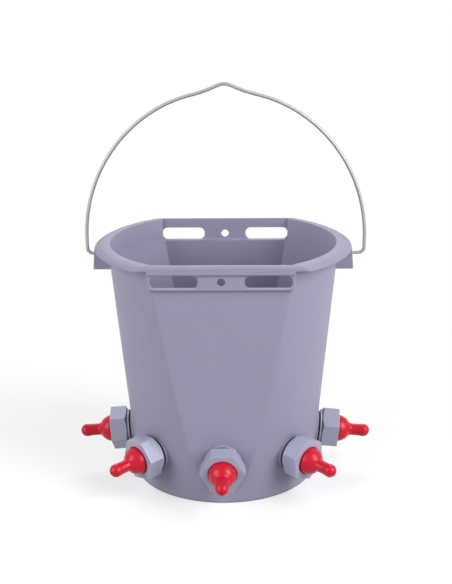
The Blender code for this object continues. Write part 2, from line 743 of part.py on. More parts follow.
def make_retainer(number, parts, guides, plastic, station):
    """Perforated cup that keeps the ball in its chamber, held down by the teat's flange."""
    plate = RETAINER_BACK + RETAINER_PLATE
    profile = [
        (0.0, plate),
        (RETAINER_RADIUS - RETAINER_RIM, plate),
        (RETAINER_RADIUS - RETAINER_RIM, SPIGOT_END),
        (RETAINER_RADIUS, SPIGOT_END),
        (RETAINER_RADIUS, RETAINER_BACK),
        (0.0, RETAINER_BACK),
    ]
    retainer = turned(f"ball_retainer_{number}", profile, VALVE_STEPS, parts, plastic, station)
    for i in range(RETAINER_HOLES):
        placed = turn_about("Z", 360.0 * i / RETAINER_HOLES)
        placed = placed @ Matrix.Translation((RETAINER_HOLE_RING, 0.0, 0.0))
        hole = cylinder(
            f"retainer_hole_{number}_{i}", RETAINER_HOLE_RADIUS, RETAINER_BACK - OVERRUN,
            plate + OVERRUN, 8, guides, retainer, placed=placed,
        )
        combine(retainer, hole, "DIFFERENCE")


def make_station(number, frame, parts, guides, finishes):
    """One complete teat valve on its own empty."""
    station = bpy.data.objects.new(f"station_{number}", None)
    parts.objects.link(station)
    station.matrix_world = frame
    make_gasket(number, parts, finishes["black rubber"], station)
    make_valve_body(number, parts, finishes["valve plastic"], station)
    make_lock_nut(number, parts, guides, finishes["valve plastic"], station)
    make_cap_nut(number, parts, guides, finishes["nut plastic"], station)
    make_teat(number, parts, finishes["red rubber"], station)
    make_ball(number, parts, finishes["ball plastic"], station)
    make_retainer(number, parts, guides, finishes["valve plastic"], station)


def main():
    clear_scene()
    parts = make_collection("teat_feeding_bucket")
    guides = make_collection("cutters")
    finishes = {
        "bucket plastic": make_material("bucket_plastic", (0.33, 0.31, 0.42), 0.42),
        "nut plastic": make_material("nut_plastic", (0.38, 0.41, 0.52), 0.35),
        "valve plastic": make_material("valve_plastic", (0.56, 0.59, 0.66), 0.40),
        "ball plastic": make_material("ball_plastic", (0.80, 0.80, 0.78), 0.35),
        "red rubber": make_material("red_rubber", (0.62, 0.015, 0.035), 0.38),
        "black rubber": make_material("black_rubber", (0.02, 0.02, 0.022), 0.60),
        "galvanised steel": make_material("galvanised_steel", (0.50, 0.51, 0.53), 0.38, 1.0),
    }
    angles = (-SIDE_VALVE_DEG, -CORNER_VALVE_DEG, 0.0, CORNER_VALVE_DEG, SIDE_VALVE_DEG)
    frames = [station_frame(angle) for angle in angles]
    make_bucket(parts, guides, finishes["bucket plastic"], frames)
    make_bail(parts, finishes["galvanised steel"])
    for number, frame in enumerate(frames, 1):
        make_station(number, frame, parts, guides, finishes)
    shading = make_shading_nodes()
    for item in parts.objects:
        if item.type == "MESH":
            item.modifiers.new("shading", "NODES").node_group = shading
    for guide in guides.objects:
        as_guide(guide)


main()
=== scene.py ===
"""Looks for the teat feeding bucket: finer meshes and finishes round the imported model.

The origin is the middle of the underside, +Z is up and -Y is the front.
All sizes are in metres.
"""

import math

import bmesh
import bpy
import numpy as np
from mathutils import Matrix, Vector


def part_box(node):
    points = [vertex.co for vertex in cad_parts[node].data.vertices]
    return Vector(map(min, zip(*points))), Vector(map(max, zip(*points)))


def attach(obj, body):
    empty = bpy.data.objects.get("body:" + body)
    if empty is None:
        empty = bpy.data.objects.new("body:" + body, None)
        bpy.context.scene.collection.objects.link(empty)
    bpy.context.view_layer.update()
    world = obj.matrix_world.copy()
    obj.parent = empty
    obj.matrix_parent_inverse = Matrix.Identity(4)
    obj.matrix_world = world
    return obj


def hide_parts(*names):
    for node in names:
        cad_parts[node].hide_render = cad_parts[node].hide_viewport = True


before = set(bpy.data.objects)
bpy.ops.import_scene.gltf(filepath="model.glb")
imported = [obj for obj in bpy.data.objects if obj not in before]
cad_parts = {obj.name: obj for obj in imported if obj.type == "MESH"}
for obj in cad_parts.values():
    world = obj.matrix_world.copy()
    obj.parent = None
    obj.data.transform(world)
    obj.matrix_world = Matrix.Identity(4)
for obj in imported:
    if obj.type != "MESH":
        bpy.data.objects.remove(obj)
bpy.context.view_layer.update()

# Bucket shell
HEIGHT = 0.2635
BASE_RADIUS = 0.0988
MOUTH_RADIUS = 0.1232
WALL = 0.0030
WALL_TOP = HEIGHT - 0.0014
FLOOR = 0.0042
FLAT_Y = 0.0985
BASE_ROUND = 0.0025
FOOT_RING_WIDTH = 0.0100
FOOT_RECESS = 0.0012
CORNER_ROUND = 0.0060
CREASE_ROUND = 0.0045
SLOPE = (MOUTH_RADIUS - BASE_RADIUS) / HEIGHT

# Lip
LIP_RADIUS = 0.1370
LIP_FLAT_Y = 0.1045
LIP_BOTTOM = HEIGHT - 0.0057
LIP_FALL = 0.0046
LIP_RIDGE = 0.1238
LIP_EDGE_WIDTH = 0.0024
LIP_EDGE_ROUND = 0.0011
ROLL_WIDTH = 0.0050
ROLL_FALL = 0.0032
RIM_ROUND = 0.0009
RIM_DEPTH = 0.0240
RIM_LEAN = 0.0034

# Band with hook slots
BAND_HALF = 0.0745
BAND_Y = 0.1020
BAND_ROOT_Y = FLAT_Y - 0.0300
BAND_TOP = HEIGHT - 0.0016
BAND_BOTTOM = HEIGHT - 0.0263
BAND_STEP = 0.0017
BAND_END_WALL = 0.0025
SKIRT_HALF = 0.0746
SKIRT_TOP = HEIGHT - 0.0040
SKIRT_BOTTOM = HEIGHT - 0.0095
SLOT_HALF_LENGTH = 0.0240
SLOT_HALF_HEIGHT = 0.0068
SLOT_CORNER = 0.0058
SLOT_X = 0.0475
SLOT_Z = HEIGHT - 0.0175
BAND_HOLE = 0.00425

# Lugs and bail
LUG_HALF = 0.0150
LUG_TOP_REACH = 0.1366
LUG_BOTTOM_REACH = 0.1385
LUG_BOTTOM = HEIGHT - 0.0280
LUG_WALL = 0.0028
PIVOT_Z = HEIGHT - 0.0140
PIVOT_HOLE = 0.0026
WIRE_RADIUS = 0.00185
BAIL_SHIFT = 0.0025

# Valves, numbered from the left side over the front to the right
VALVES = range(1, 6)
VALVE_Z = 0.0477
VALVE_DEG = (-90.0, -46.0, 0.0, 46.0, 90.0)
BOSS_RADIUS = 0.0200
BOSS_PROUD = 0.0006
BOSS_BACK = -0.0075
SEAT_GAP = 0.0003
THREAD_PITCH = 0.0040
THREAD_DEPTH = 0.0010
WASHER_RADIUS = 0.0170
WASHER_FRONT = 0.0017
COLLAR_BACK = 0.0020
COLLAR_FRONT = 0.0042
COLLAR_RADIUS = 0.0194
SPIGOT_ROOT = 0.0168
SPIGOT_END = 0.0171
POCKET_RADIUS = 0.0146
POCKET_FLOOR = 0.0140
INLET_RADIUS = 0.0035
CHAMBER_RADIUS = 0.0056
BALL_RADIUS = 0.0050
SEAT_FOOT = 0.0025
SEAT_TOP = 0.0046
STUB_RADIUS = 0.0110
STUB_HOLE = STUB_RADIUS + 0.0005
STUB_END = -0.0175
NUT_TURN_DEG = (14.0, 40.0, 30.0, 10.0, 6.0)
NUT_BACK = 0.0046
NUT_FACE = 0.0229
NUT_PLATE = 0.0030
NUT_APOTHEM = 0.0210
NUT_CORNER = 0.0011
NUT_CHAMFER = 0.0020
NUT_HOLE = 0.0151
NUT_BORE = 0.0183
NUT_THREAD_END = 0.0168
CLAMP_APOTHEM = 0.0160
CLAMP_CORNER = 0.0009
CLAMP_CHAMFER = 0.0014
CLAMP_THICKNESS = 0.0080
CLAMP_TURN_DEG = 30.0
VALVE_SIDES = 72

# Stage
AMBIENT = 0.23
LAMP_DISTANCE = 2.2
LAMP_AIM = Vector((0.0, 0.0, 0.15))


# Mesh helpers

def ring(points, height):
    """Flat points of a ring, lifted to one height."""
    return [(x, y, height) for x, y in points]


def directions(steps):
    """Directions evenly spread round a circle, starting on +X."""
    return [2.0 * math.pi * i / steps for i in range(steps)]


def circle(radius, steps):
    """Points of a circle, starting on +X."""
    return [(radius * math.cos(a), radius * math.sin(a)) for a in directions(steps)]


def turned(profile, steps):
    """Rings of a profile of (radius, height), turned round +Z."""
    return [ring(circle(radius, steps), height) for radius, height in profile]


def skin(name, rings, closed=False, material=None, smooth_deg=32.0):
    """A mesh through a row of equal rings, with fans over both ends or joined end to end."""
    rows, count = len(rings), len(rings[0])
    verts = [tuple(p) for one in rings for p in one]
    faces = []
    for a in range(rows if closed else rows - 1):
        b = (a + 1) % rows
        for j in range(count):
            k = (j + 1) % count
            faces.append((a * count + j, a * count + k, b * count + k, b * count + j))
    if not closed:
        for row in (0, rows - 1):
            start = row * count
            verts.append(tuple(np.mean(rings[row], axis=0)))
            faces += [(start + j, start + (j + 1) % count, len(verts) - 1) for j in range(count)]
    mesh = bpy.data.meshes.new(name)
    mesh.from_pydata(verts, [], faces)
    shape = bmesh.new()
    shape.from_mesh(mesh)
    bmesh.ops.remove_doubles(shape, verts=shape.verts, dist=0.000002)
    bmesh.ops.dissolve_degenerate(shape, edges=shape.edges, dist=0.000001)
    bmesh.ops.recalc_face_normals(shape, faces=shape.faces)
    shape.to_mesh(mesh)
    shape.free()
    return place(name, mesh, material, smooth_deg)


def shade(mesh, material, smooth_deg):
    """Shade a mesh smooth but for its sharp edges, and give it its material."""
    mesh.shade_smooth()
    mesh.set_sharp_from_angle(angle=math.radians(smooth_deg))
    mesh.materials.clear()
    if material is not None:
        mesh.materials.append(material)


def link(name, data):
    """Put a mesh, a lamp or a camera in the scene."""
    item = bpy.data.objects.new(name, data)
    bpy.context.scene.collection.objects.link(item)
    return item


def place(name, mesh, material=None, smooth_deg=32.0):
    """Put a shaded mesh in the scene."""
    shade(mesh, material, smooth_deg)
    return link(name, mesh)


def weigh_flats(item, weight=50):
    """Keep the flats flat in the shading, with the bend left to the round edges."""
    weigh = item.modifiers.new("weigh flats", "WEIGHTED_NORMAL")
    weigh.keep_sharp = True
    weigh.weight = weight


def ramp(value, start, run):
    """Share of a run that a value has gone past its start, from 0 to 1."""
    return min(max((value - start) / run, 0.0), 1.0)


def eased(share):
    """A share from 0 to 1 with a soft start and end."""
    return share * share * (3.0 - 2.0 * share)


def round_corner(centre_r, centre_z, radius, start_deg, end_deg, steps):
    """Points of an arc in a profile, as (radius, height)."""
    points = []
    for i in range(steps + 1):
        angle = math.radians(start_deg + (end_deg - start_deg) * i / steps)
        points.append((centre_r + radius * math.cos(angle),
                       centre_z + radius * math.sin(angle)))
    return points


def rounded_box(half_x, half_y, corner, steps=4):
    """Outline of a rectangle with round corners, starting at the right-hand side."""
    x, y = half_x - corner, half_y - corner
    points = []
    for sx, sy, start in ((1, 1, 0.0), (-1, 1, 90.0), (-1, -1, 180.0), (1, -1, 270.0)):
        points += round_corner(sx * x, sy * y, corner, start, start + 90.0, steps)
    return points


def join_or_cut(item, steps):
    """Apply a row of booleans and keep the result as the item's own mesh."""
    for operation, other in steps:
        step = item.modifiers.new(other.name, "BOOLEAN")
        step.operation = operation
        step.object = other
        step.solver = "MANIFOLD"
    bpy.context.view_layer.update()
    graph = bpy.context.evaluated_depsgraph_get()
    mesh = bpy.data.meshes.new_from_object(item.evaluated_get(graph))
    item.modifiers.clear()
    item.data = mesh
    for _, other in steps:
        bpy.data.objects.remove(other, do_unlink=True)
    return item


def drop_slivers(mesh, reach=0.000004):
    """Take out the needle-thin faces that booleans leave where two curved walls meet."""
    shape = bmesh.new()
    shape.from_mesh(mesh)
    bmesh.ops.triangulate(shape, faces=shape.faces)
    bmesh.ops.remove_doubles(shape, verts=shape.verts, dist=reach)
    bmesh.ops.dissolve_degenerate(shape, edges=shape.edges, dist=reach)
    bmesh.ops.triangulate(shape, faces=shape.faces)
    bmesh.ops.dissolve_limit(shape, angle_limit=math.radians(0.05), verts=shape.verts,
                             edges=shape.edges)
    shape.to_mesh(mesh)
    shape.free()


# Bucket shell

ROUND_STEPS = 40
CREASE_STEPS = 7
FLAT_STEPS = 12
WALL_STEPS = 24


def outline(radius, flat, crease=CREASE_ROUND):
    """A circle with flats at +-flat and a soft crease between; a small circle has no flats."""
    reach = max(radius, flat + 0.0003)
    start_x = math.sqrt((reach - crease) ** 2 - (flat - crease) ** 2)
    turn = math.atan2(flat - crease, start_x)
    quarter = []
    for i in range(ROUND_STEPS + 1):
        angle = turn * i / ROUND_STEPS
        quarter.append((reach * math.cos(angle), reach * math.sin(angle)))
    for i in range(1, CREASE_STEPS + 1):
        angle = turn + (math.pi / 2 - turn) * i / CREASE_STEPS
        quarter.append((start_x + crease * math.cos(angle),
                        flat - crease + crease * math.sin(angle)))
    for i in range(1, FLAT_STEPS + 1):
        quarter.append((start_x * (1.0 - i / FLAT_STEPS), flat))
    if radius < reach:
        quarter = [(x * radius / math.hypot(x, y), y * radius / math.hypot(x, y))
                   for x, y in quarter]
    return (quarter + [(-x, y) for x, y in reversed(quarter[:-1])]
            + [(-x, -y) for x, y in quarter[1:]]
            + [(x, -y) for x, y in reversed(quarter[1:-1])])


def wall_radius(height):
    """Radius of the round wall's outside, which slopes from the foot's edge to the top."""
    share = (height - BASE_ROUND) / (WALL_TOP - BASE_ROUND)
    top_radius = BASE_RADIUS + SLOPE * WALL_TOP
    return BASE_RADIUS + share * (top_radius - BASE_RADIUS)


def wall_heights(low, high):
    """Heights of the wall's rings, closer together near the floor."""
    return [low + (high - low) * (i / WALL_STEPS) ** 1.25 for i in range(WALL_STEPS + 1)]


def lip_top(x, y, edge_fall=0.0):
    """Height of the lip's top: it falls outward in a curve and rolls over at the flats."""
    share = max(math.hypot(x, y) - LIP_RIDGE, 0.0) / (LIP_RADIUS - LIP_RIDGE)
    fall = LIP_FALL * share ** 2.1 + edge_fall
    near = 1.0 - ramp(LIP_FLAT_Y, abs(y), ROLL_WIDTH)
    rolled = ROLL_FALL * (1.0 - math.sqrt(1.0 - near * near))
    return HEIGHT - max(fall, rolled)


def shell_outside():
    """Rings of the filled shell, from the underside up the wall and over the lip."""
    foot_inner = BASE_RADIUS - BASE_ROUND - FOOT_RING_WIDTH
    underside = [
        (0.0100, 0.0), (0.0292, 0.0), (0.0297, 0.00015), (0.0302, 0.0005), (0.0307, 0.0010),
        (0.0313, FOOT_RECESS), (0.0600, FOOT_RECESS), (foot_inner - 0.0013, FOOT_RECESS),
        (foot_inner - 0.0007, 0.0010), (foot_inner - 0.0002, 0.0004), (foot_inner + 0.0002, 0.0),
    ]
    edge = round_corner(BASE_RADIUS - BASE_ROUND, BASE_ROUND, BASE_ROUND, -90.0, 0.0, 6)
    rings = [ring(outline(radius, FLAT_Y), height) for radius, height in underside + edge[:-1]]
    high = HEIGHT - 0.0060
    for height in wall_heights(BASE_ROUND, high):
        rings.append(ring(outline(wall_radius(height), FLAT_Y), height))
    under = HEIGHT - 0.0030
    for across, below in ((0.0002, 0.0015), (0.0007, 0.0006), (0.0018, 0.0001)):
        rings.append(ring(outline(wall_radius(high) + across, FLAT_Y + across), under - below))
    inner_edge = outline(LIP_RADIUS - LIP_EDGE_WIDTH, LIP_FLAT_Y - LIP_EDGE_WIDTH)
    rings.append([(x, y, lip_top(x, y) - 0.0026) for x, y in inner_edge])
    for inset, up in ((0.0021, 0.0), (0.0005, 0.0), (0.0001, 0.0003)):
        rings.append(ring(outline(LIP_RADIUS - inset, LIP_FLAT_Y - inset), LIP_BOTTOM + up))
    inner_flat = FLAT_Y - WALL + 0.0030
    width = LIP_RADIUS - LIP_RIDGE
    for depth in (0.0, 0.0001, 0.0003, 0.0006, 0.0011, 0.0020, 0.0032, 0.0046, 0.0060, 0.0075,
                  0.0090, 0.0105, 0.0120, width):
        rest = max(LIP_EDGE_ROUND - depth, 0.0)
        edge_fall = LIP_EDGE_ROUND - math.sqrt(LIP_EDGE_ROUND ** 2 - rest ** 2)
        share = max(depth - LIP_EDGE_ROUND, 0.0) / (width - LIP_EDGE_ROUND)
        flat = LIP_FLAT_Y - min(depth, LIP_EDGE_ROUND)
        flat -= share * (LIP_FLAT_Y - LIP_EDGE_ROUND - inner_flat)
        points = outline(LIP_RADIUS - depth, flat, CREASE_ROUND * 0.6)
        rings.append([(x, y, max(lip_top(x, y, edge_fall), LIP_BOTTOM + 0.0004))
                      for x, y in points])
    return rings


def shell_cavity():
    """Rings of the bucket's inside as a solid, with a round rim and a round floor edge."""
    rim_low = HEIGHT - RIM_DEPTH
    flat = FLAT_Y - WALL
    floor_high = FLOOR + CORNER_ROUND
    floor_r = wall_radius(floor_high) - WALL - CORNER_ROUND
    corner = round_corner(floor_r, floor_high, CORNER_ROUND, -90.0, 0.0, 7)[:-1]
    floor = [(0.0200, FLOOR), (0.0550, FLOOR), (0.0800, FLOOR)]
    rings = [ring(outline(radius, flat), height) for radius, height in floor + corner]
    for height in wall_heights(floor_high, rim_low):
        rings.append(ring(outline(wall_radius(height) - WALL, flat), height))
    wall_r = wall_radius(rim_low) - WALL
    lean = RIM_LEAN - RIM_ROUND
    for i in range(1, 9):
        share = i / 8
        across = lean * share * share
        up = (RIM_DEPTH - RIM_ROUND) * share
        rings.append(ring(outline(wall_r + across, flat + across * 0.4), rim_low + up))
    for across, up in round_corner(RIM_ROUND, 0.0, RIM_ROUND, 180.0, 90.0, 5)[1:]:
        points = outline(wall_r + lean + across, flat + lean * 0.4 + across)
        rings.append(ring(points, HEIGHT - RIM_ROUND + up))
    above = outline(wall_r + RIM_LEAN, flat + lean * 0.4 + RIM_ROUND)
    rings.append(ring(above, HEIGHT + 0.0100))
    return rings


def block(name, half_x, near, far, low, high, corner, foot_round):
    """A block standing out in +Y, with round upright edges and a round lower edge."""
    rings = []
    for share in (0.0, 0.3, 0.65, 1.0):
        inset = foot_round * (1.0 - math.sin(math.acos(1.0 - share)))
        height = low + foot_round * share
        points = rounded_box(half_x - inset, (far - near) / 2 - inset / 2, corner)
        rings.append([(x, y + (far + near) / 2 - inset / 2, height) for x, y in points])
    points = rounded_box(half_x, (far - near) / 2, corner)
    rings.append([(x, y + (far + near) / 2, high) for x, y in points])
    return skin(name, rings)


def slot_cut(name, middle_x, half_length, half_height, corner):
    """A slot through the band, flared at both faces so that its edges come out round."""
    back, front, edge, past = BAND_Y - WALL, BAND_Y, 0.0004, 0.0040
    curve = ((0.08, 0.6), (0.3, 0.29), (0.6, 0.08), (1.0, 0.0))
    rows = [(back - past, edge), (back - 0.00002, edge)]
    rows += [(back + edge * along, edge * grow) for along, grow in curve]
    rows += [(front - edge * along, edge * grow) for along, grow in reversed(curve)]
    rows += [(front + 0.00002, edge), (front + past, edge)]
    rings = []
    for y, grow in rows:
        points = rounded_box(half_length + grow, half_height + grow, corner + grow, 8)
        rings.append([(middle_x + x, y, SLOT_Z + z) for x, z in points])
    return skin(name, rings)


def recess_cut(name):
    """The hollow behind the band, open above, with a round foot and a round rim."""
    half = BAND_HALF - BAND_END_WALL
    far = BAND_Y - WALL
    near = FLAT_Y - 0.0200
    low = BAND_BOTTOM + BAND_STEP
    edge = 0.0010
    rings = []
    for height, grow in (
        (low, -edge), (low + edge * 0.08, -edge * 0.6), (low + edge * 0.3, -edge * 0.29),
        (low + edge, 0.0), (HEIGHT - edge, 0.0), (HEIGHT - edge * 0.4, edge * 0.2),
        (HEIGHT - edge * 0.12, edge * 0.52), (HEIGHT + 0.00002, edge), (HEIGHT + 0.0080, edge),
    ):
        points = rounded_box(half + grow, (far - near + grow) / 2, 0.0016 + grow * 0.5)
        rings.append([(x, y + (far + near + grow) / 2, height) for x, y in points])
    return skin(name, rings)


def lug_body(name):
    """A lug on the +X side: two cheeks and an outer plate, open below."""
    flare = (LUG_BOTTOM_REACH - LUG_TOP_REACH) / (HEIGHT - 0.0039 - LUG_BOTTOM)
    root, behind, roof_slope = 0.1050, 0.0100, 0.26

    def reach(height):
        return LUG_BOTTOM_REACH - flare * (height - LUG_BOTTOM)

    rings = []
    for height, inset in (
        (LUG_BOTTOM, 0.0006), (LUG_BOTTOM + 0.00012, 0.0003), (LUG_BOTTOM + 0.0004, 0.0001),
        (LUG_BOTTOM + 0.0008, 0.0), (HEIGHT - 0.0100, 0.0), (HEIGHT - 0.0053, 0.0),
    ):
        far = reach(height) - inset
        points = rounded_box((far - root) / 2, LUG_HALF - inset, 0.0010)
        rings.append([(x + (far + root) / 2, y, height) for x, y in points])
    rings[-1] = [(x, y, z + max(LUG_TOP_REACH - x, 0.0) * roof_slope) for x, y, z in rings[-1]]
    body = skin(name, rings)
    hollow = []
    for height in (LUG_BOTTOM - 0.0100, HEIGHT + 0.0200):
        far = reach(height) - LUG_WALL
        points = rounded_box((far - root + behind) / 2, LUG_HALF - LUG_WALL, 0.0008)
        hollow.append([(x + (far + root - behind) / 2, y, height) for x, y in points])
    return join_or_cut(body, [("DIFFERENCE", skin(name + "_hollow", hollow))])


def across_x(name, radius, low, high, height):
    """A plain round cutter along X."""
    item = skin(name, turned([(radius, low), (radius, high)], 24))
    item.data.transform(Matrix.Translation((0.0, 0.0, height))
                        @ Matrix.Rotation(math.pi / 2, 4, "Y"))
    return item


def turned_half(item, side):
    """Turn a form made for the back or the right side by a half turn, to the other side."""
    if side < 0:
        item.data.transform(Matrix.Rotation(math.pi, 4, "Z"))
    return item


def station(number):
    """Placing of a valve: origin on its boss, +Z out of the wall, +Y up the wall."""
    angle = math.radians(VALVE_DEG[number - 1])
    outward = Vector((math.sin(angle), -math.cos(angle), 0.0))
    axis = (outward - Vector((0.0, 0.0, SLOPE))).normalized()
    reach = BASE_RADIUS + SLOPE * VALVE_Z + BOSS_PROUD
    flat_reach = FLAT_Y + BOSS_PROUD + BOSS_RADIUS * SLOPE
    if reach * math.cos(angle) > flat_reach:
        reach = flat_reach / math.cos(angle)
    across = Vector((0.0, 0.0, 1.0)).cross(axis).normalized()
    up = axis.cross(across)
    placed = Matrix((across, up, axis)).transposed().to_4x4()
    placed.translation = outward * reach + Vector((0.0, 0.0, VALVE_Z))
    return placed


def on_valve(item, number):
    """Move a form made at the origin to its place on a valve's axis."""
    item.data.transform(station(number))
    return item


def make_shell(material):
    """The moulded bucket in one mesh."""
    shell = skin("bucket_shell", shell_outside())
    steps = []

    def add(operation, form, side=1):
        steps.append((operation, turned_half(form, side)))

    for side in (-1, 1):
        for name, half, face, low, high, edge in (
            ("band", BAND_HALF, BAND_Y, BAND_BOTTOM, BAND_TOP, 0.0010),
            ("skirt", SKIRT_HALF, LIP_FLAT_Y - 0.00005, SKIRT_BOTTOM, SKIRT_TOP, 0.0006),
        ):
            form = block(f"{name}_{side}", half, BAND_ROOT_Y, face, low, high, 0.0012, edge)
            add("UNION", form, side)
        add("UNION", lug_body(f"lug_{side}"), side)
    add("DIFFERENCE", skin("cavity", shell_cavity()))
    edge = 0.0004
    profile = [(BOSS_RADIUS - edge, BOSS_BACK), (BOSS_RADIUS, BOSS_BACK + edge),
               (BOSS_RADIUS, -edge * 0.5), (BOSS_RADIUS - edge * 0.5, 0.0)]
    for number in VALVES:
        add("UNION", on_valve(skin(f"boss_{number}", turned(profile, 64)), number))
    for side in (-1, 1):
        add("DIFFERENCE", recess_cut(f"recess_{side}"), side)
        for x in (-SLOT_X, SLOT_X):
            cut = slot_cut(f"slot_{side}_{x}", x, SLOT_HALF_LENGTH, SLOT_HALF_HEIGHT, SLOT_CORNER)
            add("DIFFERENCE", cut, side)
        hole = slot_cut(f"hole_{side}", 0.0, BAND_HOLE, BAND_HOLE, BAND_HOLE - 0.00001)
        add("DIFFERENCE", hole, side)
        low, high = sorted(side * (LUG_TOP_REACH + past) for past in (-0.0060, 0.0060))
        add("DIFFERENCE", across_x(f"pivot_{side}", PIVOT_HOLE, low, high, PIVOT_Z))
    profile = [(STUB_HOLE, -0.0200), (STUB_HOLE, 0.0100)]
    for number in VALVES:
        add("DIFFERENCE", on_valve(skin(f"bore_{number}", turned(profile, 48)), number))
    join_or_cut(shell, steps)
    drop_slivers(shell.data)
    shade(shell.data, material, 34.0)
    weigh_flats(shell, 60)
    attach(shell, "shell")
    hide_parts("bucket")


# Bail

def bail_route():
    """Points of the wire from the left hook over the peak to the right hook, in X and Z."""
    span, start, rise = 0.1481, 0.0166, 0.1548
    peak_rise, peak_half, sharp = 0.0080, 0.0260, 1.3
    hook_x, hook_z, hook_round, foot_round = 0.1280, 0.0065, 0.0035, 0.0060
    arch_steps, steps = 180, 360

    def height(x):
        share = min(abs(x) / span, 1.0)
        kink = max(1.0 - abs(x) / peak_half, 0.0)
        return start + rise * math.sqrt(1.0 - share * share) + peak_rise * kink ** sharp

    half = [(hook_x, hook_z)]
    half += round_corner(hook_x + hook_round, hook_round, hook_round, 180.0, 270.0, 7)
    half += round_corner(span - foot_round, foot_round, foot_round, -90.0, 0.0, 8)
    for i in range(1, arch_steps + 1):
        x = span * math.cos(math.radians(90.0 * i / arch_steps))
        half.append((x, height(x)))
    route = np.array([(-x, z) for x, z in half[:-1]] + [(x, z) for x, z in reversed(half)])
    run = np.concatenate([[0.0], np.cumsum(np.linalg.norm(np.diff(route, axis=0), axis=1))])
    even = np.linspace(0.0, run[-1], steps + 1)
    route = np.column_stack([np.interp(even, run, route[:, axis]) for axis in (0, 1)])
    shoulder = np.exp(-(((np.abs(route[:, 0]) - peak_half) / 0.0110) ** 2))
    share = np.maximum(shoulder, 0.35 * np.exp(-((route[:, 0] / 0.0060) ** 2)))[1:-1, None]
    for _ in range(40):
        middle = (route[:-2] + 2.0 * route[1:-1] + route[2:]) / 4.0
        route[1:-1] += share * (middle - route[1:-1])
    return route


def make_bail(material):
    """The galvanised wire, swept along its route."""
    route = bail_route()
    tangent = np.gradient(route, axis=0)
    tangent /= np.linalg.norm(tangent, axis=1)[:, None]
    section = circle(WIRE_RADIUS, 20)
    rings = [[(x - tz * out + BAIL_SHIFT, across, z + tx * out + PIVOT_Z)
              for out, across in section]
             for (x, z), (tx, tz) in zip(route, tangent)]
    wire = skin("bail_wire", rings, material=material, smooth_deg=40.0)
    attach(wire, "bail")
    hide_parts("bail")


# Valve pieces

def hexagon_radius(angle, apothem, corner):
    """Distance from the middle to a hexagon with round corners, in one direction."""
    off = (angle + math.pi / 6) % (math.pi / 3) - math.pi / 6
    flat = (apothem - corner) * math.tan(math.pi / 6)
    if abs(apothem * math.tan(off)) <= flat:
        return apothem / math.cos(off)
    centre = (apothem - corner) / math.cos(math.pi / 6)
    side = math.pi / 6 - abs(off)
    return centre * math.cos(side) + math.sqrt(corner ** 2 - (centre * math.sin(side)) ** 2)


def hexagon_angles(apothem, corner):
    """Directions that follow a hexagon's flats and its round corners."""
    half = math.atan((apothem - corner) * math.tan(math.pi / 6) / apothem)
    rest = math.pi / 3 - 2 * half
    angles = []
    for face in range(6):
        middle = face * math.pi / 3
        angles += [middle + half * (i / 4) for i in range(-4, 5)]
        angles += [middle + half + rest * share for share in (0.2, 0.4, 0.6, 0.8)]
    return angles


def polar(angles, turn, radius, height):
    """One ring, turned by an angle; radius and height are numbers or depend on direction."""
    points = []
    for angle in angles:
        r = radius(angle) if callable(radius) else radius
        z = height(angle) if callable(height) else height
        points.append((r * math.cos(angle + turn), r * math.sin(angle + turn), z))
    return points


def thread_height(angle, height):
    """Share of a right-hand thread's depth at a place: 0 in the root, 1 on the crest."""
    place_on = ((height - THREAD_PITCH * angle / (2 * math.pi)) / THREAD_PITCH) % 1.0
    return eased(ramp(place_on, 0.12, 0.22) - ramp(place_on, 0.56, 0.22))


def fade(height, low, high, run):
    """1 between two heights, 0 outside, with a short run at both ends."""
    return min(ramp(height, low, run), ramp(high, height, run))


def round_edge(radius, deg):
    """Inset and drop of a point on a round edge, from the side at 0 to the face at 90."""
    angle = math.radians(deg)
    return radius * (1.0 - math.cos(angle)), radius * (math.sin(angle) - 1.0)


